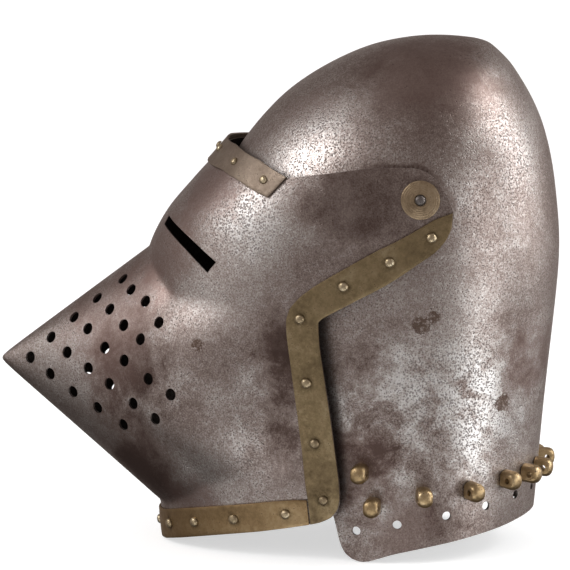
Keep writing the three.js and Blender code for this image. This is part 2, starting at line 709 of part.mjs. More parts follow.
// Brass edgings: thin shells that follow the face plate, cut to their side-view outlines.
function edging(thickness) {
  return faceSolid(GAP + thickness).subtract(faceSolid(GAP));
}
const browOutline = [...BROW_LOWER_EDGE, ...BROW_UPPER_EDGE].map(sidePoint);
addPiece('brow_plate', toGeometry(edging(BROW_THICKNESS).intersect(sidePrism(browOutline, -FAR, FAR))),
  COLOURS.browBrass);
const chinOutline = [...chinLower, ...CHIN_UPPER_EDGE.map(sidePoint).reverse()];
const brassShell = edging(BRASS_THICKNESS);
const chinStrip = brassShell.intersect(sidePrism(chinOutline, -FAR, FAR));
const chinBand = chinStrip.subtract(snoutSolid(-SNOUT_CLEARANCE));
addPiece('chin_band', toGeometry(chinBand), COLOURS.chinBrass);
const bandOutline = [...BAND_OUTER_EDGE, ...[...BAND_INNER_EDGE].reverse()].map(sidePoint);
for (const side of SIDES) {
  const slab = side.sign > 0 ? sidePrism(bandOutline, 0, FAR) : sidePrism(bandOutline, -FAR, 0);
  addPiece(`side_band_${side.name}`, toGeometry(brassShell.intersect(slab)), COLOURS.brass);
}

// Domed rivet heads, seated on their band.
function rivet(name, seat, plate, diameter) {
  const radius = diameter / 2;
  const scale = diameter / RIVET_DIAMETER;
  const profile = [
    [0, 0],
    [radius, 0],
    [radius * RIVET_SHOULDER.reach, RIVET_HEIGHT * scale * RIVET_SHOULDER.up],
    [0, RIVET_HEIGHT * scale],
  ];
  const base = seat.point.clone().addScaledVector(seat.normal, 2 * GAP + plate);
  addPiece(name, stand(lathe(profile, RIVET_SEGMENTS), base, seat.normal), COLOURS.rivet);
}
for (const side of SIDES) {
  SIDE_RIVETS.map(sidePoint).forEach(({ y, z }, i) => {
    const seat = onSurface(faceHalf, side.sign, y, z);
    rivet(`side_rivet_${side.name}_${i + 1}`, seat, BRASS_THICKNESS, RIVET_DIAMETER);
  });
  CHIN_RIVETS.map(sidePoint).forEach(({ y, z }, i) => {
    const seat = onSurface(faceHalf, side.sign, y, z);
    rivet(`chin_rivet_${side.name}_${i + 1}`, seat, BRASS_THICKNESS, RIVET_DIAMETER);
  });
  BROW_RIVETS.map(sidePoint).forEach(({ y, z }, i) => {
    const seat = onSurface(faceHalf, side.sign, y, z);
    rivet(`brow_rivet_${side.name}_${i + 1}`, seat, BROW_THICKNESS, BROW_RIVET_DIAMETER);
  });
}

// The face plate's front centre line at a height, and the way out of it there.
function frontSeat(z) {
  const slope = faceLevel(z + 1).front - faceLevel(z - 1).front;
  const normal = new THREE.Vector3(0, -1, slope / 2).normalize();
  return { point: new THREE.Vector3(0, faceLevel(z).front, z), normal };
}
rivet('chin_rivet_centre', frontSeat(upZ(CHIN_CENTRE_RIVET.up)), BRASS_THICKNESS, RIVET_DIAMETER);
rivet('brow_rivet_centre', frontSeat(upZ(BROW_CENTRE_RIVET.up)), BROW_THICKNESS, BROW_RIVET_DIAMETER);

// Pivots: a pin through skull and ear, headed inside, and a conical washer under its domed outer end.
const washerEdge = [...Array(WASHER_SEGMENTS).keys()].map((i) => {
  const angle = i / WASHER_SEGMENTS * Math.PI * 2;
  const reach = WASHER_DIAMETER / 2;
  return faceHalf(pivot.y + reach * Math.cos(angle), pivot.z + reach * Math.sin(angle));
});
const earOutside = Math.max(...washerEdge);
const skullOutside = skullHalf(pivot.y, pivot.z);
for (const side of SIDES) {
  const outward = across.clone().multiplyScalar(side.sign);
  const pinRadius = PIN_DIAMETER / 2;
  const holeRadius = pinRadius + PIN_CLEARANCE;
  const washerRadius = WASHER_DIAMETER / 2;
  const washerBase = earOutside + GAP;
  const washer = [
    [holeRadius, 0],
    [washerRadius, 0],
    [washerRadius, WASHER_THICKNESS * WASHER_RIM],
    [holeRadius, WASHER_THICKNESS + WASHER_CONE],
    [holeRadius, 0],
  ];
  const seat = new THREE.Vector3(side.sign * washerBase, pivot.y, pivot.z);
  const ring = stand(lathe(washer, WASHER_SEGMENTS), seat, outward);
  addPiece(`pivot_washer_${side.name}`, ring, COLOURS.washer);
  const inner = skullOutside - 2 * SKULL_WALL - GAP;
  const collar = inner + SKULL_WALL * PIN_HEAD.up;
  const outer = washerBase + WASHER_THICKNESS + WASHER_CONE;
  const pin = [
    [0, inner - SKULL_WALL],
    [pinRadius * PIN_HEAD.reach, inner - SKULL_WALL],
    [pinRadius * PIN_HEAD.reach, collar - SKULL_WALL],
    [pinRadius, collar - SKULL_WALL],
    [pinRadius, outer],
    [pinRadius * PIN_SHOULDER.reach, outer + PIN_DOME * PIN_SHOULDER.up],
    [0, outer + PIN_DOME],
  ];
  addPiece(`pivot_pin_${side.name}`, stand(lathe(pin, PIN_SEGMENTS), pinLine, outward), COLOURS.pin);
}

// Vervelles: domed staples with flat sides and a level cross hole, round the neck above the rim.
const neckY = alongY(NECK_CENTRE);
for (const side of SIDES) {
  VERVELLES.forEach(({ turn, up }, i) => {
    const z = upZ(up);
    const angle = THREE.MathUtils.degToRad(turn);
    const ray = new THREE.Vector3(side.sign * Math.sin(angle), Math.cos(angle), 0);
    const seat = skullSeat(new THREE.Vector3(0, neckY, z), ray);
    const radius = VERVELLE_DIAMETER / 2;
    const profile = [
      [0, 0],
      [radius, 0],
      [radius, VERVELLE_LENGTH * VERVELLE_DOME.straight],
      [radius * VERVELLE_DOME.reach, VERVELLE_LENGTH * VERVELLE_DOME.up],
      [0, VERVELLE_LENGTH],
    ];
    const body = toSolid(lathe(profile, VERVELLE_SEGMENTS));
    const flank = new THREE.BoxGeometry(VERVELLE_WIDTH, 2 * VERVELLE_DIAMETER, 2 * VERVELLE_LENGTH);
    const hole = lathe([
      [0, -VERVELLE_WIDTH],
      [VERVELLE_HOLE / 2, -VERVELLE_WIDTH],
      [VERVELLE_HOLE / 2, VERVELLE_WIDTH],
      [0, VERVELLE_WIDTH],
    ], HOLE_SEGMENTS);
    hole.rotateY(Math.PI / 2);
    hole.translate(0, 0, VERVELLE_LENGTH * VERVELLE_HOLE_UP);
    const geometry = toGeometry(body.intersect(toSolid(flank)).subtract(toSolid(hole)));
    const level = new THREE.Vector3(-seat.normal.y, seat.normal.x, 0).normalize();
    const upward = new THREE.Vector3().crossVectors(seat.normal, level);
    geometry.applyMatrix4(new THREE.Matrix4().makeBasis(level, upward, seat.normal));
    const base = seat.point.clone().addScaledVector(seat.normal, GAP);
    geometry.translate(base.x, base.y, base.z);
    addPiece(`vervelle_${side.name}_${i + 1}`, geometry, COLOURS.vervelle);
  });
}

export default group;
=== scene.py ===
import math
import bmesh
import bpy
import numpy as np
from mathutils import Matrix, Vector


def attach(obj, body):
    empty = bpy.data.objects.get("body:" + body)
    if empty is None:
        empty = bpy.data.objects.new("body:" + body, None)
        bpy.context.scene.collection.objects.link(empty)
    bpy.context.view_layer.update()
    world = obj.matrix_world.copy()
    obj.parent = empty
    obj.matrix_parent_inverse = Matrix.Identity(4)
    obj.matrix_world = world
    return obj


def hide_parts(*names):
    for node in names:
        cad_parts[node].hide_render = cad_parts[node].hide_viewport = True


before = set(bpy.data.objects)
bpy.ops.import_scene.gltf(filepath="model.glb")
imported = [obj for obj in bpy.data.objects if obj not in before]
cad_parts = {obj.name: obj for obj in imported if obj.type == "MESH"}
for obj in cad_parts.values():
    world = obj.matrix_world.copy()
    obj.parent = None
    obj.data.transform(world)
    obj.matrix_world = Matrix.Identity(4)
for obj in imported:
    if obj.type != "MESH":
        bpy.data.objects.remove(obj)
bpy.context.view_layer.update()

# Sizes in millimetres: X the wearer's left, -Y the way the snout points, Z up from the floor.
MM = 0.001
SKULL_WALL, VISOR_WALL, BRASS, BROW = 1.8, 1.6, 1.2, 1.5
GAP, RIVET_GAP, WASHER_GAP, STAPLE_GAP, PIN_PLAY = 0.3, 0.1, 0.15, 0.25, 0.6
FACET_SLACK = 0.15  # by which the smooth bowl is smaller, to stay inside the faceted one's box
PIVOT_Y, PIVOT_Z = 101.9, 238.0
NECK_Y = 84.0

# The snout is a round-tipped cone that droops, squarer and less steep towards the face.
TIP_Y, TIP_Z, TIP_ROUND = -187.5, 118.2, 3.0
SNOUT_LENGTH, SNOUT_BACK = 162.0, 190
SNOUT_DROOP, SNOUT_RISE, SNOUT_SPREAD = 0.0465, 0.79, 0.58
SNOUT_SQUARENESS, EASE_FROM, EASE_OVER = 0.32, 105.0, 130.0
SNOUT_SLANT = 0.85  # true distance from the cone for a level one
# The face plate's rings are fuller than ovals. Its solid goes on past the edges that are cut later.
WIDEST_Y, VISOR_BACK, FULLNESS = 76.8, 190.0, 2.15
FACE_TOP, FACE_FOOT = 292, -16
VISOR_HEART = np.array([0, 35, 116.0])
TIP_CROWDING = 1.45  # power that draws the visor's rings towards the snout's tip
# Width of the soft hollow between snout and face, above and below and what the sides add.
HOLLOW, SIDE_HOLLOW = 0.8, 25
SIDE_FROM, SIDE_OVER = 0.7, 0.28  # how far towards the side that begins, and over how much it grows
VISOR_LIMIT, SKULL_LIMIT = 320.0, 300.0  # no point of either is further from where its rays start

# Hole radii, and the lengths of the drills that make them.
PIN_HOLE, LINING_HOLE, BREATH_HOLE = 3.65, 2.9, 4.0
LINING_DRILL, BREATH_DRILL, STAPLE_DRILL = 12, 14, 20
# Cutting plates: half their width, where the eye slots' begin, how far they go down and ahead.
CUT_HALF, SLOT_FROM, CUT_FOOT, CUT_AHEAD = 130, 8, -60, -220
PIN_DRILL = ((0, PIVOT_Y, PIVOT_Z), (1, 0, 0), PIN_HOLE, 2 * CUT_HALF)

# Mesh counts: round and down the shells, along the edgings, round what is spun.
SKULL_MESH, VISOR_MESH, INSIDE_MESH = (220, 190), (230, 190), (120, 100)
BROW_STEPS, CHIN_STEPS, SIDE_STEPS, STEPS_ACROSS = 120, 160, 200, 8
RIVET_TURN, RIVET_RINGS, WASHER_TURN, PIN_TURN, STAPLE_TURN = 28, 6, 64, 40, 48
DRILL_TURN = 32
PATH_STEP = 2.5  # between the points of a cut's outline
# Angles in degrees past which an edge shows as a crease.
SHELL_CREASE, BRASS_CREASE, RIVET_CREASE = 32, 40, 50
EDGE_ROUND, EDGE_ANGLE = 0.32, 1.0  # of the edgings' rims, and past which angle in radians an edge is one
# How unevenly hand work comes out: rivets in size and tilt, staples in lean.
HAND_SIZE, HAND_TILT, HAND_LEAN = 0.05, 0.02, 0.03
RIVET_SEED, STAPLE_SEED = 7, 11

# Skull rings: front y, front z, back y, back z, half width, where it is widest.
SKULL_ROWS = np.array([
    (-1.2, -20, 166.8, -20, 86, 0.5), (-3.2, 0, 169.3, 0, 87, 0.5), (-9.2, 30, 172.8, 30, 88.7, 0.51),
    (-15.2, 60, 175.3, 60, 90.5, 0.52), (-27.2, 110, 179.8, 110, 94, 0.54),
    (-37.2, 160, 185, 160, 98, 0.56), (-44.2, 200, 187.5, 202, 100, 0.58),
    (-41.2, 230, 185.4, 231, 99.5, 0.58), (-33.2, 250, 182.6, 252, 97.3, 0.58),
    (-21.3, 269.7, 178.4, 271, 92.5, 0.58), (-5.2, 289.1, 172.6, 288, 83.5, 0.57),
    (7.1, 300.9, 167.3, 299, 76.5, 0.57), (25.5, 313.9, 160.8, 310, 67, 0.56),
    (44.1, 323.9, 155, 318.6, 56, 0.55), (62.6, 331.3, 150.1, 324.2, 43.5, 0.54),
    (80.9, 335.6, 146, 328.2, 31, 0.53), (99.8, 337.7, 142.3, 331.4, 19.5, 0.52),
    (115.8, 337.5, 137.8, 334, 10, 0.5), (128.5, 336.4, 130, 336.2, 0.01, 0.5),
])
# Visor rings: height, front y, half width.
VISOR_ROWS = np.array([
    (-20, -74.2, 88), (0, -76.7, 89), (12, -78.2, 90.3), (25, -79.2, 91.5), (45, -84.2, 93.3),
    (70, -89.2, 95.2), (100, -92.2, 98), (130, -93.9, 100.2), (160, -93.2, 102.2), (185, -88.7, 103.5),
    (200, -84.5, 104), (214, -77.8, 104.4), (226, -69.9, 104.5), (238, -59.6, 104.2),
    (247, -51.6, 103.7), (255, -44.2, 102.9), (263, -37.2, 101.6), (271, -30.2, 99.8), (284, -18.2, 96),
    (296, -6.0, 91),
])
LOW_ROWS = SKULL_ROWS[:10]  # those below the crown, for seats at a height
# Side-view outlines as (y, z).
VISOR_TOP = [(-40.2, 267.5), (-20.2, 264.6), (-1.2, 257.3), (15.8, 250.2), (32.3, 252.3), (45.8, 254.1),
             (59.9, 256.2), (73.9, 257.8), (92.5, 258.1), (100.7, 257.2), (107.8, 253.8), (113.9, 247.6),
             (118.5, 240.6), (121.9, 232.6), (122.8, 229.0)]
BAND_OUTER = [(122.8, 229.0), (121.5, 219.7), (117.8, 212), (111.4, 204.6), (100.3, 197), (88.2, 188.4),
              (74.2, 179.8), (55.5, 170), (41.2, 162.2), (36.8, 159.4), (37.5, 143.2), (40.6, 121.4),
              (43.8, 99.8), (46.9, 75.9), (49.4, 56.1), (50.1, 42.8), (48.8, 36.2), (44.8, 30.6),
              (37.5, 26.8), (30.8, 25.2)]
BAND_INNER = [(121.9, 231.8), (111.3, 226), (92.8, 214.8), (74.2, 205.3), (55.5, 194.5), (36.6, 183.4),
              (25.1, 174.8), (18.2, 167), (15.9, 159.4), (16.2, 149.8), (19.1, 127.2), (22.7, 99),
              (25.7, 73.9), (27.7, 51.9), (29.2, 41.2)]
CHIN_LOWER = [(30.1, 25), (15, 21.9), (-2.8, 18.3), (-30.9, 13.2), (-42.4, 10.7), (-58.2, 6.6), (-70.9, 2.2),
              (-76.7, 0.1)]
CHIN_UPPER = [(28.5, 41.3), (22.6, 41.3), (6.5, 39.3), (-11.8, 36.1), (-39.9, 31.1), (-71.5, 22.3),
              (-79.3, 20.2)]
BROW_LOWER = [(3.4, 237.1), (-16.8, 246.4), (-29.3, 251.6), (-44.0, 254.4)]
BROW_UPPER = [(16.1, 250.5), (-1.8, 259.8), (-20.4, 267.4), (-31.0, 270.0)]
EYE_SLOT = [(-68.8, 219.5), (-71.8, 213.6), (-54.5, 201.4), (-37.5, 187.0), (-31.4, 194.2), (-50.3, 208.1)]
RIM = [(53.2, 4.7), (57.2, 1.8), (62, 0.4), (68, 0.8), (77, 3.7), (86.3, 6.5), (105.8, 10.6), (120.8, 13.3),
       (135.8, 16.3), (150.8, 19.3), (161.8, 21.9), (199.8, 31)]
FACE_OPENING = [(-85.2, 245), (-33.2, 245), (-17.2, 241), (-3.2, 230), (1.8, 208), (3.8, 180), (10.8, 150),
                (21.8, 110), (32.8, 70), (40.8, 40), (45, 28.6), (48.2, 15.5), (50.2, 9.4), RIM[0]]
SIDE_RIVETS = [(109.1, 213.9), (82.6, 198), (53.1, 182), (25, 160.4), (29, 118.7), (34.1, 79.2),
               (39.5, 41.7)]
CHIN_RIVETS = [(-67.2, 14.2), (-48.1, 19.4), (-20.4, 25), (14.6, 31.2)]
BROW_RIVETS = [(1, 248), (-20.2, 257.2), (-33.9, 262.7)]
LINING = [(60, 20.7), (86.8, 25.8), (118.4, 31.1), (143.1, 35.4), (161.5, 39.2), (171.4, 41.1)]
# Breath holes: share of the snout's length from its tip, angle up round it, then how far the hand-punched
# hole on the right is off in each.
BREATH = [(0.537, 59.7, 0, 0), (0.427, 55.9, 0, 0), (0.328, 48.5, 0, 0), (0.227, 36, 0, 0),
          (0.134, 9.9, 0.003, 1.5), (0.583, 45.9, 0, 0), (0.492, 39.2, -0.012, -1.2),
          (0.396, 30.6, -0.006, -0.7), (0.305, 14.1, 0, 0), (0.226, -9.7, 0, 0), (0.653, 34.5, 0, 0),
          (0.56, 25.5, -0.013, -2.6), (0.477, 14.7, 0.001, -3.8), (0.403, 2.1, 0.01, -1.4),
          (0.33, -19.1, 0, 0), (0.721, 22.3, 0, 0), (0.641, 16.5, 0.002, 0.1), (0.567, 7.4, 0.011, 0.5),
          (0.499, -4.1, 0.01, -0.8), (0.441, -22, 0, 0), (0.678, 0.9, 0, 0), (0.606, -10, 0.005, 0),
          (0.556, -24.1, 0, 0), (0.778, -2.4, 0, 0), (0.706, -12.8, 0, 0)]
# Vervelles: turn round the neck from the back, height.
VERVELLES = [(103, 59.8), (98, 38.1), (77.5, 45), (57, 47.1), (38.5, 51.8), (24.5, 52.9), (11.5, 54.1)]
SIDES = (("left", 1), ("right", -1))
# Where the visor's edge shades the skull beside it, as (y, z).
EAR_LINE = [(y, 257.9) for y in range(65, 96, 3)] + [(98, 258), (101, 257.6), (104, 256.4), (107, 254.8),
                                                     (110, 252.6), (112.6, 250), (115, 247), (117.2, 244),
                                                     (119.2, 241), (120.8, 238), (122.2, 235), (123, 232)]
# Corners of those outlines that stay sharp, counted as Python counts, so -1 is the last.
FACE_CORNERS, VISOR_CORNERS, EYE_CORNERS = (0, -3, -2, -1), (0, 3, -3, -2, -1), (0, 1, 3, 4)
CHIN_FOOT = (-79.0, 0)
BAND_END = [(122.2, 229.8)]
CHIN_CENTRE, BROW_CENTRE = [(-78.0, 10.3)], [(-37.0, 263.1)]
# Rivet heads: radius, height.
SIDE_RIVET, BROW_RIVET = (3.25, 2.4), (2.7, 2.0)
RIVET_SKIRT, RIVET_SHOULDER = 0.18, 0.9  # the skirt's share of the height, and the power that fills the dome
# Spun profiles as (radius, height), from the seat. Only the pin's foot is measured from inside the skull.
WASHER = [(3.7, 0), (12.4, 0), (12.5, 0.25), (12.4, 0.75), (11.9, 0.95), (7, 1.7), (4.2, 2.15), (3.7, 2.1),
          (3.7, 0)]
# The ring that the washer sits on: its radius, and angles that stop just short of a turn.
WASHER_SEAT, SEAT_ANGLES = 12, np.linspace(0, 6.28, 24)
PIN_FOOT = [(0, -1.8), (5.0, -1.6), (5.6, -0.9), (5.6, 0), (3.3, 0)]
PIN_HEAD = [(3.3, 2.4), (3.25, 3.1), (2.9, 3.9), (2.1, 4.45), (1.1, 4.7), (0, 4.75)]
STAPLE = [(0, 0), (6.0, 0), (6.25, 0.3), (6.25, 7.2), (6.0, 8.9), (5.2, 10.4), (3.8, 11.5), (2, 12.0),
          (0, 12.1)]
STAPLE_HALF, STAPLE_BULGE = 4.75, 0.12  # half its thickness, and how much of what is past it stays
STAPLE_EYE, STAPLE_EYE_Z = 1.9, 6.2


def spline(knots, values, at):
    """Smooth curve through a table's rows: a natural cubic."""
    knots, values = np.asarray(knots, float), np.asarray(values, float)
    n, h = len(knots), np.diff(knots)
    a, b = np.zeros((n, n)), np.zeros((n,) + values.shape[1:])
    a[0, 0] = a[-1, -1] = 1
    for i in range(1, n - 1):
        a[i, i - 1:i + 2] = h[i - 1], 2 * (h[i - 1] + h[i]), h[i]
        b[i] = 6 * ((values[i + 1] - values[i]) / h[i] - (values[i] - values[i - 1]) / h[i - 1])
    m = np.linalg.solve(a, b)
    at = np.clip(np.asarray(at, float), knots[0], knots[-1])
    i = np.clip(np.searchsorted(knots, at) - 1, 0, n - 2)
    u, w = (at - knots[i]), (knots[i + 1] - at)
    hi = h[i]
    if values.ndim > 1:
        u, w, hi = u[..., None], w[..., None], hi[..., None]
    return (m[i] * w**3 + m[i + 1] * u**3) / (6 * hi) + (values[i] / hi - m[i] * hi / 6) * w + (
        values[i + 1] / hi - m[i + 1] * hi / 6) * u


ROW_STEPS = np.hypot(np.diff(SKULL_ROWS[:, 0]), np.diff(SKULL_ROWS[:, 1])) + np.hypot(
    np.diff(SKULL_ROWS[:, 2]), np.diff(SKULL_ROWS[:, 3]))
SKULL_KNOTS = np.concatenate([[0], np.cumsum(ROW_STEPS)])
SKULL_SPAN = SKULL_KNOTS[-1]


def skull_points(t, angle):
    """The skull's outside. t runs from the apex at 0 to the neck at 1, angle round from the front."""
    row = spline(SKULL_KNOTS, SKULL_ROWS, (1 - t) * SKULL_SPAN)
    c, s = np.cos(angle), np.sin(angle)
    lean = row[..., 5] - c * np.where(c > 0, row[..., 5], 1 - row[..., 5])
    y = row[..., 0] + (row[..., 2] - row[..., 0]) * lean
    z = row[..., 1] + (row[..., 3] - row[..., 1]) * lean
    return np.stack([np.maximum(row[..., 4], 0) * s, y, z], -1)


def face_row(z):
    row = spline(VISOR_ROWS[:, 0], VISOR_ROWS[:, 1:], z)
    return row[..., 0], row[..., 1]


def face_points(angle, z):
    """The face plate's outside at an angle round from the front and a height."""
    front, half = face_row(z)
    c, s = np.cos(angle), np.sin(angle)
    reach = np.where(c > 0, WIDEST_Y - front, VISOR_BACK)
    y = WIDEST_Y - np.sign(c) * reach * np.abs(c) ** (2 / FULLNESS)
    x = np.sign(s) * half * np.abs(s) ** (2 / FULLNESS)
    return np.stack([x, y, z + 0 * x], -1)


def face_angle(y, z):
    """The angle round the face plate where it has this y at this height."""
    front, _ = face_row(z)
    ahead = np.clip((WIDEST_Y - y) / (WIDEST_Y - front), -1, 1)
    behind = np.clip((y - WIDEST_Y) / VISOR_BACK, 0, 1)
    return np.where(y < WIDEST_Y, np.arccos(np.clip(ahead, 0, 1) ** (FULLNESS / 2)),
                    math.pi - np.arccos(behind ** (FULLNESS / 2)))


def surface_normals(points_at, a, b):
    """Outward normals of a two-way surface by small steps along each way."""
    a_step, b_step = 1e-3, 0.5
    da = points_at(a + a_step, b) - points_at(a - a_step, b)
    db = points_at(a, b + b_step) - points_at(a, b - b_step)
    n = np.cross(da, db)
    return n / np.linalg.norm(n, axis=-1, keepdims=True)


def snout_spread(from_tip):
    """Width gained from the tip, easing off near the face so that the sides run into it."""
    d = np.clip(from_tip, 0, EASE_FROM + EASE_OVER / 2)
    eased = d - np.maximum(d - EASE_FROM, 0) ** 2 / EASE_OVER
    return np.sqrt(eased * eased + 2 * TIP_ROUND * eased)


def snout_fullness(from_tip):
    """The oval's power, which grows squarer towards the face."""
    return 2 + SNOUT_SQUARENESS * np.clip(from_tip / SNOUT_LENGTH, 0, 1)


def snout_points(from_tip, angle):
    w, power = snout_spread(from_tip), 2 / snout_fullness(from_tip)
    c, s = np.cos(angle), np.sin(angle)
    return np.stack([SNOUT_SPREAD * w * np.sign(c) * np.abs(c) ** power, TIP_Y + from_tip,
                     TIP_Z - SNOUT_DROOP * from_tip + SNOUT_RISE * w * np.sign(s) * np.abs(s) ** power], -1)


def visor_depth(p):
    """How far a point stands outside the visor, below 0 inside it."""
    x, y, z = p[..., 0], p[..., 1], p[..., 2]
    front, half = face_row(z)
    reach = np.where(y < WIDEST_Y, WIDEST_Y - front, VISOR_BACK)
    g = ((np.abs(x) / half) ** FULLNESS + (np.abs(y - WIDEST_Y) / reach) ** FULLNESS) ** (1 / FULLNESS)
    face = np.hypot(x, y - WIDEST_Y) * (1 - 1 / np.maximum(g, 1e-6))
    face = np.maximum(face, np.maximum(z - FACE_TOP, FACE_FOOT - z))
    d = y - TIP_Y
    w = np.maximum(snout_spread(d), 0.01)
    zc = z - TIP_Z + SNOUT_DROOP * d
    n = snout_fullness(d)
    g = (np.abs(x / (SNOUT_SPREAD * w)) ** n + np.abs(zc / (SNOUT_RISE * w)) ** n) ** (1 / n)
    snout = np.hypot(x, zc) * (1 - 1 / np.maximum(g, 1e-6)) * SNOUT_SLANT
    snout = np.where(d <= 0, 1 - d, np.maximum(snout, d - SNOUT_BACK))
    side = np.abs(x) / np.maximum(np.hypot(x, zc), 1)
    fade = np.clip((side - SIDE_FROM) / SIDE_OVER, 0, 1)
    k = HOLLOW + SIDE_HOLLOW * fade * fade * (3 - 2 * fade)
    h = np.maximum(k - np.abs(face - snout), 0) / k
    return np.minimum(face, snout) - h * h * k / 4


def visor_reach(direction):
    """Distance from the visor's heart to its outside along each direction."""
    low, high = np.zeros(direction.shape[:-1]), np.full(direction.shape[:-1], VISOR_LIMIT)
    for _ in range(34):
        mid = (low + high) / 2
        inside = visor_depth(VISOR_HEART + direction * mid[..., None]) < 0
        low, high = np.where(inside, mid, low), np.where(inside, high, mid)
    return low


def face_out(bm):
    """Turns all faces outwards."""
    bmesh.ops.recalc_face_normals(bm, faces=bm.faces[:])
    if bm.calc_volume(signed=True) < 0:
        bmesh.ops.reverse_faces(bm, faces=bm.faces[:])
    bm.normal_update()


def make_object(name, bm):
    face_out(bm)
    mesh = bpy.data.meshes.new(name)
    bm.to_mesh(mesh)
    bm.free()
    obj = bpy.data.objects.new(name, mesh)
    bpy.context.scene.collection.objects.link(obj)
    return obj


def place(bm, points):
    for v, p in zip(bm.verts, points):
        v.co = Vector(p) * MM


def ball(segments, rings):
    """A sphere's mesh with each vertex's share of the way from its top pole and its turn round it."""
    bm = bmesh.new()
    bmesh.ops.create_uvsphere(bm, u_segments=segments, v_segments=rings, radius=1)
    co = np.array([v.co[:] for v in bm.verts])
    polar = np.arccos(np.clip(co[:, 2], -1, 1)) / math.pi
    return bm, polar, np.arctan2(co[:, 0], -co[:, 1])


def offset_by_normals(bm, points, distance):
    """Points moved out by a distance along the mesh's own vertex normals."""
    place(bm, points)
    face_out(bm)
    normals = np.array([v.normal[:] for v in bm.verts])
    return points + normals * distance


def skull_body(name, segments, rings, inset):
    """The bowl as a closed form, its wall in by inset, with a flat bottom across the neck."""
    bm, polar, turn = ball(segments, rings)
    t = np.clip(polar * rings / (rings - 1), 0, 1)
    points = skull_points(t, turn)
    bottom = polar > 1 - 0.5 / rings
    points[bottom] = points[t >= 0.999].mean(0)
    place(bm, offset_by_normals(bm, points, -inset))
    return make_object(name, bm)


def visor_body(name, segments, rings, inset=0.0):
    """Face plate and snout as a closed form, its poles along Y and its rings closest at the snout's tip."""
    bm, polar, turn = ball(segments, rings)
    alpha = math.pi * polar**TIP_CROWDING
    direction = np.stack([np.sin(alpha) * np.cos(turn), -np.cos(alpha), np.sin(alpha) * np.sin(turn)], -1)
    points = VISOR_HEART + direction * visor_reach(direction)[:, None]
    if inset:
        points = offset_by_normals(bm, points, -inset)
    place(bm, points)
    return make_object(name, bm)


def smooth_path(points, corners):
    """A rounder run through side-view points that stays sharp at the numbered corners."""
    pts = [np.array(p, float) for p in points]
    out = []
    n = len(pts)
    sharp = {c % n for c in corners}
    for i in range(n):
        p1, p2 = pts[i], pts[(i + 1) % n]
        p0 = pts[i - 1] if i not in sharp else p1
        p3 = pts[(i + 2) % n] if (i + 1) % n not in sharp else p2
        steps = max(1, int(np.linalg.norm(p2 - p1) // PATH_STEP))
        for k in range(steps):
            t = k / steps
            out.append(0.5 * (2 * p1 + (p2 - p0) * t + (2 * p0 - 5 * p1 + 4 * p2 - p3) * t * t
                              + (3 * p1 - p0 - 3 * p2 + p3) * t**3))
    return out


def side_plate(name, outline, low_x, high_x):
    """A plate with this side-view outline from one X to another, used to cut with."""
    bm = bmesh.new()
    face = bm.faces.new([bm.verts.new((low_x * MM, y * MM, z * MM)) for y, z in outline])
    pushed = bmesh.ops.extrude_face_region(bm, geom=[face])
    moved = [v for v in pushed["geom"] if isinstance(v, bmesh.types.BMVert)]
    bmesh.ops.translate(bm, verts=moved, vec=((high_x - low_x) * MM, 0, 0))
    return make_object(name, bm)


def frame_at(point, normal):
    """A placing matrix whose Z runs along a normal, its X level."""
    z = Vector(normal).normalized()
    x = Vector((0, 0, 1)).cross(z)
    x = x.normalized() if x.length > 1e-4 else Vector((1, 0, 0))
    m = Matrix((x, z.cross(x), z)).transposed().to_4x4()
    m.translation = Vector(point) * MM
    return m


def drills(name, holes):
    """All the cutting pins of (point, normal, radius, length) in one mesh."""
    bm = bmesh.new()
    for point, normal, radius, length in holes:
        bmesh.ops.create_cone(bm, cap_ends=True, segments=DRILL_TURN, radius1=radius * MM,
                              radius2=radius * MM, depth=length * MM, matrix=frame_at(point, normal))
    return make_object(name, bm)


def cut(obj, tool, operation="DIFFERENCE", finish=None):
    """Cuts with a tool; where a finish is given, the faces that the tool leaves take it."""
    if finish:
        tool.data.materials.append(finish)
    mod = obj.modifiers.new("cut", "BOOLEAN")
    mod.object, mod.operation, mod.solver, mod.material_mode = tool, operation, "EXACT", "TRANSFER"
    bake(obj)
    bpy.data.objects.remove(tool)


def bake(obj):
    """Makes an object's modifiers part of its mesh."""
    graph = bpy.context.evaluated_depsgraph_get()
    mesh = bpy.data.meshes.new_from_object(obj.evaluated_get(graph))
    obj.modifiers.clear()
    obj.data = mesh


def finish_shading(obj, degrees):
    obj.data.shade_smooth()
    obj.data.set_sharp_from_angle(angle=math.radians(degrees))


def face_seat(side, y, z):
    """A point on the face plate and the way out of it."""
    angle = side * face_angle(np.array(y, float), np.array(z, float))
    zz = np.array(z, float)
    normal = surface_normals(face_points, angle, zz)
    point = face_points(angle, zz)
    if np.dot(normal, point - np.array([0, WIDEST_Y, z])) < 0:
        normal = -normal
    return point, normal


def skull_level(z, y):
    """At a height of the skull: its middle's y, how far it reaches on this y's side and its half width."""
    row = spline(LOW_ROWS[:, 1], LOW_ROWS, z)
    middle = row[0] + (row[2] - row[0]) * row[5]
    return middle, middle - row[0] if y < middle else row[2] - middle, row[4]


def skull_seat(z, turn):
    """Where a level ray from the neck's middle leaves the skull, and the way out there."""
    ray = np.array([math.sin(turn), math.cos(turn), 0])

    def outside(p):
        middle, reach, half = skull_level(p[2], p[1])
        return ((p[1] - middle) / reach) ** 2 + (p[0] / half) ** 2 - 1

    low, high = 0.0, SKULL_LIMIT
    start = np.array([0, NECK_Y, z])
    for _ in range(40):
        mid = (low + high) / 2
        low, high = (low, mid) if outside(start + ray * mid) > 0 else (mid, high)
    p = start + ray * low
    n = np.array([outside(p + e) - outside(p - e) for e in np.eye(3) * 0.5])
    return p, n / np.linalg.norm(n)


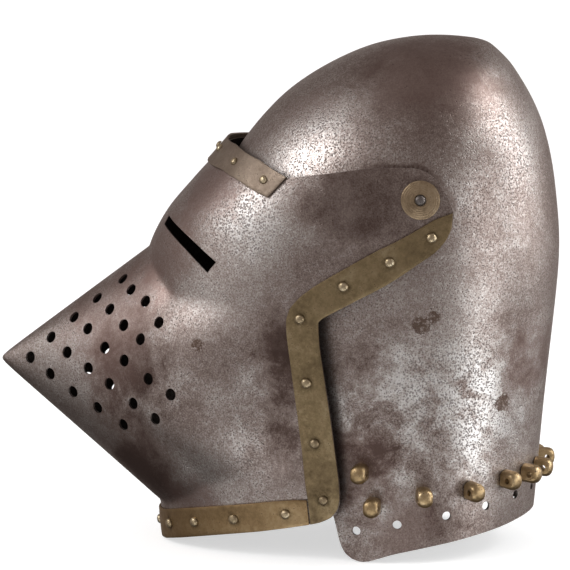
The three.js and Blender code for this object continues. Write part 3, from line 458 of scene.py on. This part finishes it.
def skull_side_seat(side, y, z):
    """The seat on the skull's side at this y and height."""
    middle, reach, half = skull_level(z, y)
    x = half * math.sqrt(max(0, 1 - ((y - middle) / reach) ** 2))
    return skull_seat(z, math.atan2(side * x, y - NECK_Y))


def make_skull(outer, inner):
    """The bowl: a shell cut away for the face, with the lining's holes and the pins' hole."""
    skull = skull_body("skull_bowl", *SKULL_MESH, FACET_SLACK)
    skull.data.materials.append(outer)
    cut(skull, skull_body("skull_inside", *INSIDE_MESH, SKULL_WALL), finish=inner)
    below = [(RIM[-1][0], CUT_FOOT), (FACE_OPENING[0][0], CUT_FOOT)]
    opening = smooth_path(FACE_OPENING + RIM[1:] + below, FACE_CORNERS)
    cut(skull, side_plate("face_cut", opening, -CUT_HALF, CUT_HALF))
    holes = [(*skull_side_seat(s, y, z), LINING_HOLE, LINING_DRILL) for _, s in SIDES for y, z in LINING]
    cut(skull, drills("skull_drills", holes + [PIN_DRILL]))
    return skull


def breath_drill(side, from_tip, angle):
    """A drill square to the snout's side, at a distance from its tip and an angle up round it."""
    p = snout_points(np.array(from_tip), np.array(angle))
    along = snout_points(np.array(from_tip + 0.1), np.array(angle)) - p
    around = snout_points(np.array(from_tip), np.array(angle + 0.01)) - p
    out = -np.cross(along, around)
    out /= np.linalg.norm(out)
    return p * (side, 1, 1), out * (side, 1, 1), BREATH_HOLE, BREATH_DRILL


def make_visor(outer, inner):
    """Face plate and snout: a shell cut to its edge, with eye slots, breath holes and the pins' hole."""
    visor = visor_body("visor_shell", *VISOR_MESH)
    visor.data.materials.append(outer)
    cut(visor, visor_body("visor_inside", *INSIDE_MESH, VISOR_WALL), finish=inner)
    ahead = [CHIN_FOOT, (CUT_AHEAD, 0), (CUT_AHEAD, VISOR_TOP[0][1])]
    edge = smooth_path(VISOR_TOP + BAND_OUTER[1:-1] + CHIN_LOWER[:-1] + ahead, VISOR_CORNERS)
    cut(visor, side_plate("visor_edge", edge, -CUT_HALF, CUT_HALF), "INTERSECT")
    slot = smooth_path(EYE_SLOT, EYE_CORNERS)
    for _, s in SIDES:
        cut(visor, side_plate("slot", slot, s * SLOT_FROM, s * CUT_HALF))
    breath = []
    for share, turn, share_off, turn_off in BREATH:
        from_tip, angle = share * SNOUT_LENGTH, math.radians(turn)
        breath.append(breath_drill(1, from_tip, angle))
        breath.append(breath_drill(-1, from_tip + share_off * SNOUT_LENGTH, angle + math.radians(turn_off)))
    cut(visor, drills("breath_drills", breath + [PIN_DRILL]))
    return visor


def edging_line(line, steps, mirrored):
    """A side-view line as even steps of (angle, height) on the face plate, mirrored on where asked."""
    line = np.array(line, float)
    flat = np.stack([face_angle(line[:, 0], line[:, 1]), line[:, 1]], -1)
    if mirrored:
        first = 0 if abs(flat[-1, 0]) > 0.02 else 1  # a point in the middle isn't doubled
        flat = np.concatenate([flat, flat[::-1][first:] * (-1, 1)])
    size = np.linalg.norm(np.diff(flat * (100, 1), axis=0), axis=1)  # the plate is about 100 mm in radius
    knots = np.concatenate([[0], np.cumsum(size)])
    at = np.linspace(0, knots[-1], steps + 1)
    run = np.stack([np.interp(at, knots, flat[:, i]) for i in range(2)], -1)
    for _ in range(3):
        run[1:-1] = (run[:-2] + 2 * run[1:-1] + run[2:]) / 4
    return run


def edging(name, first, second, thickness, steps, mirrored=False, side=1):
    """A metal edging between two side-view lines on the face plate, standing off it by the gap."""
    a, b = edging_line(first, steps, mirrored), edging_line(second, steps, mirrored)
    bm = bmesh.new()
    bmesh.ops.create_grid(bm, x_segments=steps, y_segments=STEPS_ACROSS, size=0.5)
    co = np.array([v.co[:] for v in bm.verts])
    u, v = co[:, 0] + 0.5, co[:, 1] + 0.5
    i = np.clip(np.rint(u * steps).astype(int), 0, steps)
    flat = a[i] * (1 - v)[:, None] + b[i] * v[:, None]
    angle, z = flat[:, 0], flat[:, 1]
    p = face_points(angle, z)
    n = surface_normals(face_points, angle, z)
    n *= np.sign((n * (p - np.stack([0 * z, WIDEST_Y + 0 * z, z], -1))).sum(-1))[:, None]
    place(bm, (p + n * GAP) * (side, 1, 1))
    bm.normal_update()

    def outward(face):
        x, y, _ = face.calc_center_median()
        return face.normal.x * x + face.normal.y * (y - WIDEST_Y * MM)

    if sum(outward(face) for face in bm.faces) < 0:
        bmesh.ops.reverse_faces(bm, faces=bm.faces[:])
    grown = bmesh.ops.extrude_face_region(bm, geom=bm.faces[:])
    top = [f for f in grown["geom"] if isinstance(f, bmesh.types.BMFace)]
    bm.normal_update()
    outer = {}
    for f in top:
        for vert in f.verts:
            outer.setdefault(vert, Vector())
            outer[vert] += f.normal
    for vert, normal in outer.items():
        vert.co += normal.normalized() * thickness * MM
    bmesh.ops.recalc_face_normals(bm, faces=bm.faces[:])
    rim = [e for e in bm.edges if e.is_manifold and e.calc_face_angle() > EDGE_ANGLE]
    bmesh.ops.bevel(bm, geom=rim, offset=EDGE_ROUND * MM, offset_type="OFFSET", segments=2, profile=0.5,
                    affect="EDGES", material=-1)
    obj = make_object(name, bm)
    finish_shading(obj, BRASS_CREASE)
    return obj


def spun(bm, profile, segments, place_at):
    """Spins a (radius, height) profile about Z, welds it at the axis and places what it made."""
    closed = profile[0] == profile[-1]
    verts = [bm.verts.new((r * MM, 0, z * MM)) for r, z in (profile[:-1] if closed else profile)]
    edges = [bm.edges.new((a, b)) for a, b in zip(verts, verts[1:])]
    if closed:
        edges.append(bm.edges.new((verts[-1], verts[0])))
    made = bmesh.ops.spin(bm, geom=verts + edges, cent=(0, 0, 0), axis=(0, 0, 1), angle=2 * math.pi,
                          steps=segments, use_merge=True, use_duplicate=False)
    known = set(verts) | {g for g in made["geom_last"] if isinstance(g, bmesh.types.BMVert)}
    stack = [v for v in known if v.is_valid]
    seen = set(stack)
    while stack:
        v = stack.pop()
        for e in v.link_edges:
            o = e.other_vert(v)
            if o not in seen:
                seen.add(o)
                stack.append(o)
    bmesh.ops.remove_doubles(bm, verts=[v for v in seen if abs(v.co.x) < 1e-7 and abs(v.co.y) < 1e-7],
                             dist=1e-6)
    bmesh.ops.transform(bm, matrix=place_at, verts=[v for v in seen if v.is_valid])


def dome(bm, place_at, radius, height):
    """A rivet's domed head on a short upright skirt."""
    profile = [(0.0, height)]
    for k in range(1, RIVET_RINGS + 1):
        a = k / RIVET_RINGS * math.pi / 2
        up = RIVET_SKIRT + (1 - RIVET_SKIRT) * math.cos(a)
        profile.append((radius * math.sin(a) ** RIVET_SHOULDER, height * up))
    profile += [(radius, 0.0), (0.0, 0.0)]
    spun(bm, profile, RIVET_TURN, place_at)


def seats_of(places, middle=()):
    """Seats on both sides of the face plate, then those in the middle."""
    both = [face_seat(s, y, z) for _, s in SIDES for y, z in places]
    return both + [face_seat(1, y, z) for y, z in middle]


def make_rivets(name, seats, plate, radius, height):
    """Heads on a plate of this thickness, each a little off in size and tilt as hand work is."""
    bm = bmesh.new()
    wear = np.random.default_rng(RIVET_SEED)
    lift = RIVET_GAP + GAP + plate
    for point, normal in seats:
        size = 1 + HAND_SIZE * wear.uniform(-1, 1)
        tilt = wear.normal(0, HAND_TILT, 3)
        dome(bm, frame_at(point + normal * lift, normal + tilt), radius * size, height * size)
    obj = make_object(name, bm)
    finish_shading(obj, RIVET_CREASE)
    return obj


def make_pivot(name, side):
    """The washer that sits on the visor's ear, and the pin through it, the visor and the skull."""
    ring = [(WASHER_SEAT * math.cos(a), WASHER_SEAT * math.sin(a)) for a in SEAT_ANGLES]
    ear = max(abs(face_seat(side, PIVOT_Y + y, PIVOT_Z + z)[0][0]) for y, z in ring)
    seat = frame_at((side * (ear + WASHER_GAP), PIVOT_Y, PIVOT_Z), (side, 0, 0))
    skull_x = abs(skull_side_seat(side, PIVOT_Y, PIVOT_Z)[0][0])
    inside = -(ear + WASHER_GAP - skull_x) - 2 * SKULL_WALL - PIN_PLAY
    pin = [(radius, inside + z) for radius, z in PIN_FOOT] + PIN_HEAD
    made = []
    for stem, profile, segments in (("washer_", WASHER, WASHER_TURN), ("pin_", pin, PIN_TURN)):
        bm = bmesh.new()
        spun(bm, profile, segments, seat)
        made.append(make_object(stem + name, bm))
        finish_shading(made[-1], BRASS_CREASE)
    return made


def make_vervelles():
    """One staple is made, flattened and holed, then set round the neck, each leaning its own way."""
    bm = bmesh.new()
    spun(bm, STAPLE, STAPLE_TURN, Matrix.Identity(4))
    flat = STAPLE_HALF * MM
    for v in bm.verts:
        if abs(v.co.x) > flat:
            v.co.x = math.copysign(flat + STAPLE_BULGE * (abs(v.co.x) - flat), v.co.x)
    staple = make_object("staple", bm)
    cut(staple, drills("staple_drill", [((0, 0, STAPLE_EYE_Z), (1, 0, 0), STAPLE_EYE, STAPLE_DRILL)]))
    bm = bmesh.new()
    wear = np.random.default_rng(STAPLE_SEED)
    for _, s in SIDES:
        for turn, z in VERVELLES:
            point, normal = skull_seat(z, s * math.radians(turn))
            before = len(bm.verts)
            bm.from_mesh(staple.data)
            bm.verts.ensure_lookup_table()
            lean = wear.normal(0, HAND_LEAN, 3)
            bmesh.ops.transform(bm, matrix=frame_at(point + normal * STAPLE_GAP, normal + lean),
                                verts=bm.verts[before:])
    bpy.data.objects.remove(staple)
    vervelles = make_object("staples", bm)
    finish_shading(vervelles, BRASS_CREASE)
    return vervelles


# Finishes.
class Look:
    """A procedural metal built up step by step from the object's own coordinates."""

    RAGGED, CORE = 1.1, 0.35  # shares of a patch's radius: how far its edge wanders, where it is full
    RINGS = 4500  # of a turned face, in radians a metre, so 1.4 mm apart

    def __init__(self, name):
        """Takes the frame's own material of that name where there is one."""
        self.mat = bpy.data.materials.get(name) or bpy.data.materials.new(name)
        self.mat.use_nodes = True
        self.nodes, self.links = self.mat.node_tree.nodes, self.mat.node_tree.links
        self.shader = self.nodes["Principled BSDF"]
        self.coords = self.nodes.new("ShaderNodeTexCoord").outputs["Object"]

    def put(self, value, socket):
        if isinstance(value, bpy.types.NodeSocket):
            self.links.new(value, socket)
        else:
            socket.default_value = value

    def math(self, operation, a, b=0.0, clamp=False):
        node = self.nodes.new("ShaderNodeMath")
        node.operation, node.use_clamp = operation, clamp
        for value, socket in zip((a, b), node.inputs):
            self.put(value, socket)
        return node.outputs[0]

    def add(self, first, *rest):
        for value in rest:
            first = self.math("ADD", first, value)
        return first

    def less(self, a, b):
        return self.math("SUBTRACT", a, b)

    def times(self, a, b, clamp=False):
        return self.math("MULTIPLY", a, b, clamp)

    def noise(self, scale, detail, rough, distortion=0.0):
        node = self.nodes.new("ShaderNodeTexNoise")
        node.inputs["Scale"].default_value = scale
        node.inputs["Detail"].default_value = detail
        node.inputs["Roughness"].default_value = rough
        node.inputs["Distortion"].default_value = distortion
        self.links.new(self.coords, node.inputs["Vector"])
        return node.outputs["Fac"]

    def cells(self, scale):
        node = self.nodes.new("ShaderNodeTexVoronoi")
        node.inputs["Scale"].default_value = scale
        self.links.new(self.coords, node.inputs["Vector"])
        return node.outputs["Distance"]

    def span(self, value, low, high, to_low=0.0, to_high=1.0, smooth=False):
        node = self.nodes.new("ShaderNodeMapRange")
        node.interpolation_type = "SMOOTHSTEP" if smooth else "LINEAR"
        for v, key in zip((value, low, high, to_low, to_high),
                          ("Value", "From Min", "From Max", "To Min", "To Max")):
            self.put(v, node.inputs[key])
        return node.outputs[0]

    def ramp(self, value, stops):
        node = self.nodes.new("ShaderNodeValToRGB")
        ramp = node.color_ramp
        while len(ramp.elements) < len(stops):
            ramp.elements.new(0.5)
        for element, (at, colour) in zip(ramp.elements, stops):
            element.position = at
            element.color = (*colour, 1)
        self.links.new(value, node.inputs[0])
        return node.outputs[0]

    def mix(self, share, a, b):
        node = self.nodes.new("ShaderNodeMix")
        node.data_type = "RGBA"
        for value, socket in ((share, node.inputs[0]), (a, node.inputs[6]), (b, node.inputs[7])):
            self.put(value if isinstance(value, bpy.types.NodeSocket) else (*value, 1), socket)
        return node.outputs[2]

    def mirrored(self):
        """Coordinates folded so that both sides of the helmet wear alike and take the same painted light and
        shade.
        """
        part = self.nodes.new("ShaderNodeSeparateXYZ")
        self.links.new(self.coords, part.inputs[0])
        joined = self.nodes.new("ShaderNodeCombineXYZ")
        self.links.new(self.math("ABSOLUTE", part.outputs[0]), joined.inputs[0])
        self.links.new(part.outputs[1], joined.inputs[1])
        self.links.new(part.outputs[2], joined.inputs[2])
        return joined.outputs[0]

    def zones(self, spots, warp):
        """Sum of soft round patches (x, y, z, radius, weight) in millimetres, with ragged edges."""
        folded, total = self.mirrored(), None
        for x, y, z, radius, weight in spots:
            node = self.nodes.new("ShaderNodeVectorMath")
            node.operation = "DISTANCE"
            self.links.new(folded, node.inputs[0])
            node.inputs[1].default_value = (x * MM, y * MM, z * MM)
            wander = self.times(self.less(warp, 0.5), radius * MM * self.RAGGED)
            ragged = self.add(node.outputs["Value"], wander)
            patch = self.span(ragged, radius * MM * self.CORE, radius * MM, weight, 0.0, smooth=True)
            total = patch if total is None else self.add(total, patch)
        return total

    def turned(self, y, z):
        """Fine rings left by turning about an axis along X."""
        part = self.nodes.new("ShaderNodeSeparateXYZ")
        self.links.new(self.coords, part.inputs[0])
        dy, dz = self.less(part.outputs[1], y * MM), self.less(part.outputs[2], z * MM)
        reach = self.math("SQRT", self.add(self.times(dy, dy), self.times(dz, dz)))
        return self.math("SINE", self.times(reach, self.RINGS))

    def bump(self, height, strength, distance, normal=None):
        node = self.nodes.new("ShaderNodeBump")
        node.inputs["Strength"].default_value = strength
        node.inputs["Distance"].default_value = distance
        self.links.new(height, node.inputs["Height"])
        if normal:
            self.links.new(normal, node.inputs["Normal"])
        return node.outputs[0]

    def done(self, colour, rough, normal):
        self.put(colour, self.shader.inputs["Base Color"])
        self.put(rough, self.shader.inputs["Roughness"])
        self.shader.inputs["Metallic"].default_value = 1.0
        self.links.new(normal, self.shader.inputs["Normal"])
        return self.mat


def steel(name, lights, patches, stains, reds, seed):
    """Old steel: silver worn through a brown skin, peppered with dark pits and in ragged patches, with
    painted light and shade in zones.
    """
    k = Look(name)
    broad = k.noise(10 + seed, 3, 0.55, 0.5)
    mottle = k.noise(48, 10, 0.7, 0.3)
    fine = k.noise(330, 4, 0.7)
    grain = k.noise(980, 2, 0.6)
    # Painted light and shade: zones that make the steel lighter where highlights fall and darker where shade
    # and dark reflections fall.
    shade = k.zones(lights, mottle)

    # How far the brown skin is worn off, with the painted light and shade added in.
    patchy = k.add(k.zones(patches, broad), 0.3)
    worn = k.add(k.times(k.less(mottle, 0.5), patchy), k.times(broad, 0.6))
    speck = k.add(k.times(fine, 0.5), k.times(grain, 0.7))
    speck = k.times(k.less(speck, 0.6), k.span(shade, -0.2, 0.05, 0.35, 1.0))
    worn = k.span(k.add(worn, speck, shade), -0.09, 0.65)
    red = k.times(k.zones(reds, mottle), 0.75, clamp=True)
    colour = k.mix(red, k.ramp(worn, STEEL_TONES), RED_SKIN)

    # Rust in spots with torn edges.
    torn = k.add(mottle, k.times(k.less(fine, 0.5), 1.2))
    rust = k.span(k.add(k.zones(stains, torn), k.times(torn, 0.3)), 0.36, 0.42)
    rust = k.times(rust, k.span(fine, 0.4, 0.47))
    colour = k.mix(k.times(rust, 0.85), colour, RUST)

    # Fine pepper over the lighter steel, denser where the painted light is brighter, and larger pits in
    # patches.
    dense = k.add(k.times(mottle, 0.6), k.times(fine, 0.9), k.times(grain, 0.9), k.times(shade, 1.3))
    pepper = k.span(k.less(k.cells(680), dense), -1.05, -0.89, 1.0, 0.0)
    pepper = k.times(pepper, k.span(red, 0.2, 0.7, 1.0, 0.3))
    pits = k.times(k.span(k.cells(260), 0.08, 0.17, 1.0, 0.0), k.span(mottle, 0.46, 0.56))
    holes = k.math("MAXIMUM", k.times(pepper, 0.75), pits)
    colour = k.mix(k.times(holes, 0.85), colour, PIT)

    rough = k.span(worn, 0.0, 1.0, 0.5, 0.36)
    rough = k.math("ADD", rough, k.times(k.math("MAXIMUM", rust, holes), 0.2), clamp=True)
    normal = k.bump(k.noise(24, 2, 0.4), 0.25, 0.003)
    normal = k.bump(k.add(mottle, k.times(fine, 0.5)), 0.2, 0.0009, normal)
    normal = k.bump(k.less(k.times(grain, 0.4), holes), 0.4, 0.0003, normal)
    return k.done(colour, rough, normal)


def inside_steel(name):
    """The helmet's unpolished, blackened inside, kept near black as painted shade for what shows through the
    holes.
    """
    k = Look(name)
    broad, fine = k.noise(20, 6, 0.6, 0.4), k.noise(420, 5, 0.7)
    worn = k.span(k.add(k.times(broad, 0.6), k.times(fine, 0.4)), 0.36, 0.64)
    return k.done(k.ramp(worn, INSIDE_TONES), k.span(fine, 0.3, 0.7, 0.68, 0.5), k.bump(fine, 0.3, 0.0008))


def brass(name, dark, mid, light, shine, seed, rivet_shade=()):
    """Old brass: brown in the hollows, with painted shade round its rivets, rubbed lighter where it is
    handled.
    """
    k = Look(name)
    broad = k.noise(38 + seed, 6, 0.6, 0.5)
    fine = k.noise(300, 7, 0.7)
    grain = k.noise(1300, 3, 0.6)
    worn = k.span(k.add(k.times(broad, 0.6), k.times(fine, 0.5)), 0.36, 0.78)
    colour = k.ramp(worn, [(0.0, dark), (0.5, mid), (1.0, light)])
    pits = k.times(k.span(k.cells(520), 0.14, 0.26, 1.0, 0.0), k.span(fine, 0.46, 0.6))
    colour = k.mix(k.times(pits, 0.7), colour, BRASS_PIT)
    # Painted shade round the rivets.
    if rivet_shade:
        colour = k.mix(k.times(k.zones(rivet_shade, fine), 0.65, clamp=True), colour, BRASS_PAINTED_SHADE)
    normal = k.bump(k.less(fine, pits), 0.25, 0.0006)
    normal = k.bump(grain, 0.1, 0.0003, normal)
    if name in TURNED:
        normal = k.bump(k.turned(PIVOT_Y, PIVOT_Z), 0.12, 0.0003, normal)
    return k.done(colour, k.span(worn, 0.0, 1.0, 0.58, shine), normal)


def painted_shade_round(seats):
    """Painted shade round the rivets of one side, which serves both because patches are folded over."""
    return [(abs(p[0]), p[1], p[2], RIVET_SHADE_RADIUS, RIVET_SHADE_WEIGHT) for p, _ in seats[:len(seats) // 2]]


# Colours from the darkest skin to the brightest steel, as (share, colour).
STEEL_TONES = [(0.0, (0.085, 0.058, 0.05)), (0.18, (0.135, 0.097, 0.085)), (0.44, (0.29, 0.237, 0.215)),
               (0.66, (0.46, 0.415, 0.392)), (0.84, (0.66, 0.637, 0.62)), (1.0, (0.8, 0.79, 0.78))]
# The inside's tones: blackened steel, made near black as painted shade.
INSIDE_TONES = [(0.0, (0.03, 0.024, 0.021)), (0.6, (0.07, 0.057, 0.05)), (1.0, (0.13, 0.11, 0.1))]
RED_SKIN, RUST, PIT = (0.255, 0.175, 0.155), (0.115, 0.072, 0.05), (0.085, 0.055, 0.046)
# Brass pits, and the colour of the painted shade round the rivets.
BRASS_PIT, BRASS_PAINTED_SHADE = (0.06, 0.045, 0.03), (0.05, 0.036, 0.02)
# Size and strength of the painted shade round each rivet.
RIVET_SHADE_RADIUS, RIVET_SHADE_WEIGHT = 6.5, 0.9
# Each brass, and the pins' dark steel: its colour in hollows, mostly and where rubbed, then how rough it
# is there.
BRASS_TONES = {
    "brow_brass": ((0.2, 0.155, 0.12), (0.27, 0.215, 0.17), (0.37, 0.31, 0.25), 0.44),
    "chin_brass": ((0.19, 0.13, 0.068), (0.31, 0.215, 0.112), (0.44, 0.33, 0.19), 0.34),
    "side_brass": ((0.12, 0.088, 0.05), (0.27, 0.205, 0.115), (0.44, 0.36, 0.23), 0.36),
    "washer_brass": ((0.17, 0.12, 0.075), (0.38, 0.29, 0.19), (0.6, 0.5, 0.36), 0.3),
    "vervelle_brass": ((0.2, 0.13, 0.06), (0.45, 0.33, 0.18), (0.68, 0.55, 0.36), 0.28),
    "rivet_brass": ((0.2, 0.15, 0.09), (0.5, 0.41, 0.27), (0.75, 0.67, 0.5), 0.28),
    "pin_steel": ((0.12, 0.105, 0.1), (0.24, 0.22, 0.21), (0.42, 0.4, 0.39), 0.36),
}
TURNED = ("washer_brass",)
# Patches as (x, y, z, radius, weight) in millimetres, the same on both sides of the helmet. The light and
# shade lists are painted light and shade; the others belong to the finish.
# Painted light and shade on the skull: painted highlights, and a darker crown as painted reflection of dark.
SKULL_PAINTED_LIGHT = [(82, 28, 276, 45, 0.1), (60, 150, 262, 50, 0.1), (86, 118, 112, 55, 0.14),
                (100, 124, 232, 30, 0.08), (70, 150, 70, 50, 0.06), (62, 100, 318, 66, -0.17),
                (88, 58, 66, 36, -0.1), (86, 96, 24, 36, -0.1), (92, 62, 128, 24, -0.06),
                (98, 92, 60, 16, 0.1), (92, 86, 280, 30, 0.08)]
# Painted shade on the skull along the visor's edge.
EAR_SHADE = [(*skull_side_seat(1, y, z)[0], 3.4, -0.13 * min(1, 0.15 * (i + 1)))
             for i, (y, z) in enumerate(EAR_LINE)]
SKULL_PATCHES = [(86, 105, 95, 80, 1.9), (60, 160, 110, 70, 1.4), (86, 60, 30, 40, 1.0),
                 (75, 140, 220, 60, 0.5)]
SKULL_STAINS = [(95, 102, 157, 9, 0.5), (93, 110, 163, 7, 0.46), (90, 88, 118, 7, 0.2),
                (62, 150, 103, 12, 0.34), (50, 166, 170, 8, 0.34), (60, 152, 190, 6, 0.3),
                (86, 70, 45, 20, 0.14)]
SKULL_REDS = [(40, 172, 130, 40, 0.6), (70, 20, 300, 40, 0.35), (60, 105, 325, 60, 0.6),
              (88, 58, 60, 40, 0.3), (86, 90, 26, 30, 0.3)]
# Painted light and shade on the visor, with painted shade under the snout.
VISOR_PAINTED_LIGHT = [(88, -12, 225, 42, 0.12), (88, -5, 88, 30, 0.04), (98, 35, 150, 40, -0.16),
                (100, 60, 235, 45, -0.14), (45, -80, 60, 40, -0.14), (52, -88, 125, 46, -0.12),
                (34, -80, 54, 36, -0.34)]
# Painted shade on the visor beside the side band.
BAND_SHADE = [(97, 12, z, 21, -0.12) for z in (54, 76, 98, 120, 142)]
VISOR_PATCHES = [(50, -90, 120, 60, 1.0), (90, 0, 100, 50, 0.7), (90, -10, 215, 40, 0.5)]
VISOR_STAINS = [(78, -42, 140, 10, 0.34), (70, -48, 128, 9, 0.3), (95, 30, 230, 7, 0.2)]
VISOR_REDS = [(48, -72, 195, 42, 0.8), (40, -105, 150, 60, 0.7), (60, -40, 248, 45, 0.9),
              (40, -95, 60, 50, 0.3), (60, -50, 32, 30, 0.8)]

side_seats = seats_of(SIDE_RIVETS)
chin_seats = seats_of(CHIN_RIVETS, CHIN_CENTRE)
brow_seats = seats_of(BROW_RIVETS, BROW_CENTRE)

# Painted shade round the rivets of the chin and side edgings.
rivet_shade = {"chin_brass": painted_shade_round(chin_seats), "side_brass": painted_shade_round(side_seats)}
dark_inside = inside_steel("dark_steel_inside")
looks = {
    "skull_steel": steel("worn_steel_skull", SKULL_PAINTED_LIGHT + EAR_SHADE, SKULL_PATCHES, SKULL_STAINS,
                         SKULL_REDS, 0),
    "visor_steel": steel("worn_steel_visor", VISOR_PAINTED_LIGHT + BAND_SHADE, VISOR_PATCHES, VISOR_STAINS,
                         VISOR_REDS, 3),
}
for seed, (name, tones) in enumerate(BRASS_TONES.items(), 1):
    looks[name] = brass(name, *tones, seed, rivet_shade.get(name, ()))

skull = make_skull(looks["skull_steel"], dark_inside)
visor = make_visor(looks["visor_steel"], dark_inside)
brow_plate = edging("brow_band", BROW_LOWER, BROW_UPPER, BROW, BROW_STEPS, mirrored=True)
chin_band = edging("chin_edging", CHIN_LOWER, CHIN_UPPER, BRASS, CHIN_STEPS, mirrored=True)
side_bands = {name: edging("edging_" + name, BAND_END + BAND_OUTER[1:], BAND_END + BAND_INNER[1:], BRASS,
                           SIDE_STEPS, side=s) for name, s in SIDES}
side_rivets = make_rivets("rivets_side", side_seats, BRASS, *SIDE_RIVET)
chin_rivets = make_rivets("rivets_chin", chin_seats, BRASS, *SIDE_RIVET)
brow_rivets = make_rivets("rivets_brow", brow_seats, BROW, *BROW_RIVET)
pivots = {name: make_pivot(name, s) for name, s in SIDES}
vervelles = make_vervelles()
finish_shading(skull, SHELL_CREASE)
finish_shading(visor, SHELL_CREASE)


def numbered(stem, places):
    return [f"{stem}_{side}_{i + 1}" for side, _ in SIDES for i in range(len(places))]


# Each piece with the body that it rides on, its finish and the nodes that it stands for.
fitted = [
    (skull, "skull_body", "skull_steel", ["skull"]),
    (vervelles, "skull_body", "vervelle_brass", numbered("vervelle", VERVELLES)),
    (visor, "visor_body", "visor_steel", ["visor"]),
    (brow_plate, "visor_body", "brow_brass", ["brow_plate"]),
    (chin_band, "visor_body", "chin_brass", ["chin_band"]),
    (side_rivets, "visor_body", "rivet_brass", numbered("side_rivet", SIDE_RIVETS)),
    (chin_rivets, "visor_body", "rivet_brass", numbered("chin_rivet", CHIN_RIVETS) + ["chin_rivet_centre"]),
    (brow_rivets, "visor_body", "rivet_brass", numbered("brow_rivet", BROW_RIVETS) + ["brow_rivet_centre"]),
]
for name, _ in SIDES:
    fitted.append((side_bands[name], "visor_body", "side_brass", ["side_band_" + name]))
    fitted.append((pivots[name][0], "skull_body", "washer_brass", ["pivot_washer_" + name]))
    fitted.append((pivots[name][1], "skull_body", "pin_steel", ["pivot_pin_" + name]))
for obj, body, slot_name, nodes in fitted:
    if not obj.data.materials:
        obj.data.materials.append(looks[slot_name])
    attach(obj, body)
    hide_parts(*nodes)

# Studio: a pale sheet that curves up all round, a box for each highlight and dim fills between them.
SHEET_FLAT, SHEET_BEND, SHEET_TOP, SHEET_TURN = 3400, 1400, 6000, 48
SHEET_GREY, SHEET_GLOW = 0.55, 0.6
SKY_TINT = (1.0, 0.87, 0.82, 1)
SKY_RISE = {"From Min": -0.6, "From Max": -0.15, "To Min": 0.07, "To Max": 0.3}
LAMP_HEART = Vector((0, 0.02, 0.18))
# Lamps: turn from +X towards +Y and height in degrees, distance and size in metres, then radiance.
LAMPS = [
    ("front_box", -60, 32, 1.9, (0.65, 0.6), 9.2),
    ("nose_box", -92, 34, 1.9, (0.5, 0.35), 1.7),
    ("front_fill", -58, 10, 2.0, (0.8, 1.0), 1.0),
    ("front_low", -52, -22, 1.2, (0.4, 0.35), 0.8),
    ("back_box", 100, 18, 1.9, (0.4, 1.6), 6.5),
    ("back_high", 91, 40, 1.9, (0.35, 0.45), 12.5),
    ("back_edge", 122, -2, 1.9, (0.4, 0.9), 1.3),
    ("back_fill", 66, -7, 2.0, (1.0, 1.1), 2.7),
    ("side_low", -2, -40, 1.8, (2.0, 0.5), 2.6),
]
LENS, SENSOR, DISTANCE = 207.7, 36, 2.2
AZIMUTH, ELEVATION = math.radians(96), math.radians(7)
AIM = Vector((0, 0.0048, 0.170))


def pale_sheet():
    """The floor and its rise, faintly bright by itself, neither mirrored nor casting shade."""
    bm = bmesh.new()
    bend = [(SHEET_FLAT + SHEET_BEND * math.sin(a), SHEET_BEND - SHEET_BEND * math.cos(a))
            for a in np.linspace(0, math.pi / 2, 13)]
    profile = [(0, 0)] + bend + [(SHEET_FLAT + SHEET_BEND, SHEET_TOP)]
    spun(bm, profile, SHEET_TURN, Matrix.Identity(4))
    sheet = make_object("floor", bm)
    sheet.data.shade_smooth()
    plain = bpy.data.materials.new("pale_sheet")
    plain.use_nodes = True
    shader = plain.node_tree.nodes["Principled BSDF"].inputs
    shader["Base Color"].default_value = (SHEET_GREY, SHEET_GREY, SHEET_GREY, 1)
    shader["Roughness"].default_value = 0.9
    shader["Specular IOR Level"].default_value = 0.0
    shader["Emission Color"].default_value = (1, 1, 1, 1)
    shader["Emission Strength"].default_value = SHEET_GLOW
    sheet.data.materials.append(plain)
    sheet.visible_glossy = False
    sheet.visible_shadow = False
    return sheet


def warm_sky():
    """Faint warm light from all round, dimmer from below."""
    world = bpy.data.worlds.new("studio")
    world.use_nodes = True
    nodes, links = world.node_tree.nodes, world.node_tree.links
    nodes["Background"].inputs["Color"].default_value = SKY_TINT
    way = nodes.new("ShaderNodeSeparateXYZ")
    rise = nodes.new("ShaderNodeMapRange")
    for socket, value in SKY_RISE.items():
        rise.inputs[socket].default_value = value
    links.new(nodes.new("ShaderNodeTexCoord").outputs["Generated"], way.inputs[0])
    links.new(way.outputs[2], rise.inputs["Value"])
    links.new(rise.outputs[0], nodes["Background"].inputs["Strength"])
    return world


def soft_lamp(name, turn, height, distance, size, radiance):
    """A soft box that faces the helmet and stays out of the picture."""
    data = bpy.data.lights.new(name, "AREA")
    data.shape, data.size, data.size_y = "RECTANGLE", size[0], size[1]
    data.energy = radiance * math.pi * size[0] * size[1]
    obj = bpy.data.objects.new(name, data)
    bpy.context.scene.collection.objects.link(obj)
    turn, height = math.radians(turn), math.radians(height)
    way = Vector((math.cos(turn) * math.cos(height), math.sin(turn) * math.cos(height), math.sin(height)))
    obj.location = LAMP_HEART + way * distance
    obj.rotation_euler = (-way).to_track_quat("-Z", "Y").to_euler()
    obj.visible_camera = False


def side_camera():
    """The camera at the wearer's left, a little behind and above."""
    data = bpy.data.cameras.new("camera")
    data.lens, data.sensor_width = LENS, SENSOR
    eye = bpy.data.objects.new("camera", data)
    bpy.context.scene.collection.objects.link(eye)
    back = Vector((math.sin(AZIMUTH) * math.cos(ELEVATION), -math.cos(AZIMUTH) * math.cos(ELEVATION),
                   math.sin(ELEVATION)))
    eye.location = AIM + back * DISTANCE
    eye.rotation_mode = "QUATERNION"
    eye.rotation_quaternion = (-back).to_track_quat("-Z", "Y")
    return eye


pale_sheet()
bpy.context.scene.world = warm_sky()
for lamp in LAMPS:
    soft_lamp(*lamp)
bpy.context.scene.camera = side_camera()
bpy.context.scene.view_settings.view_transform = "Standard"
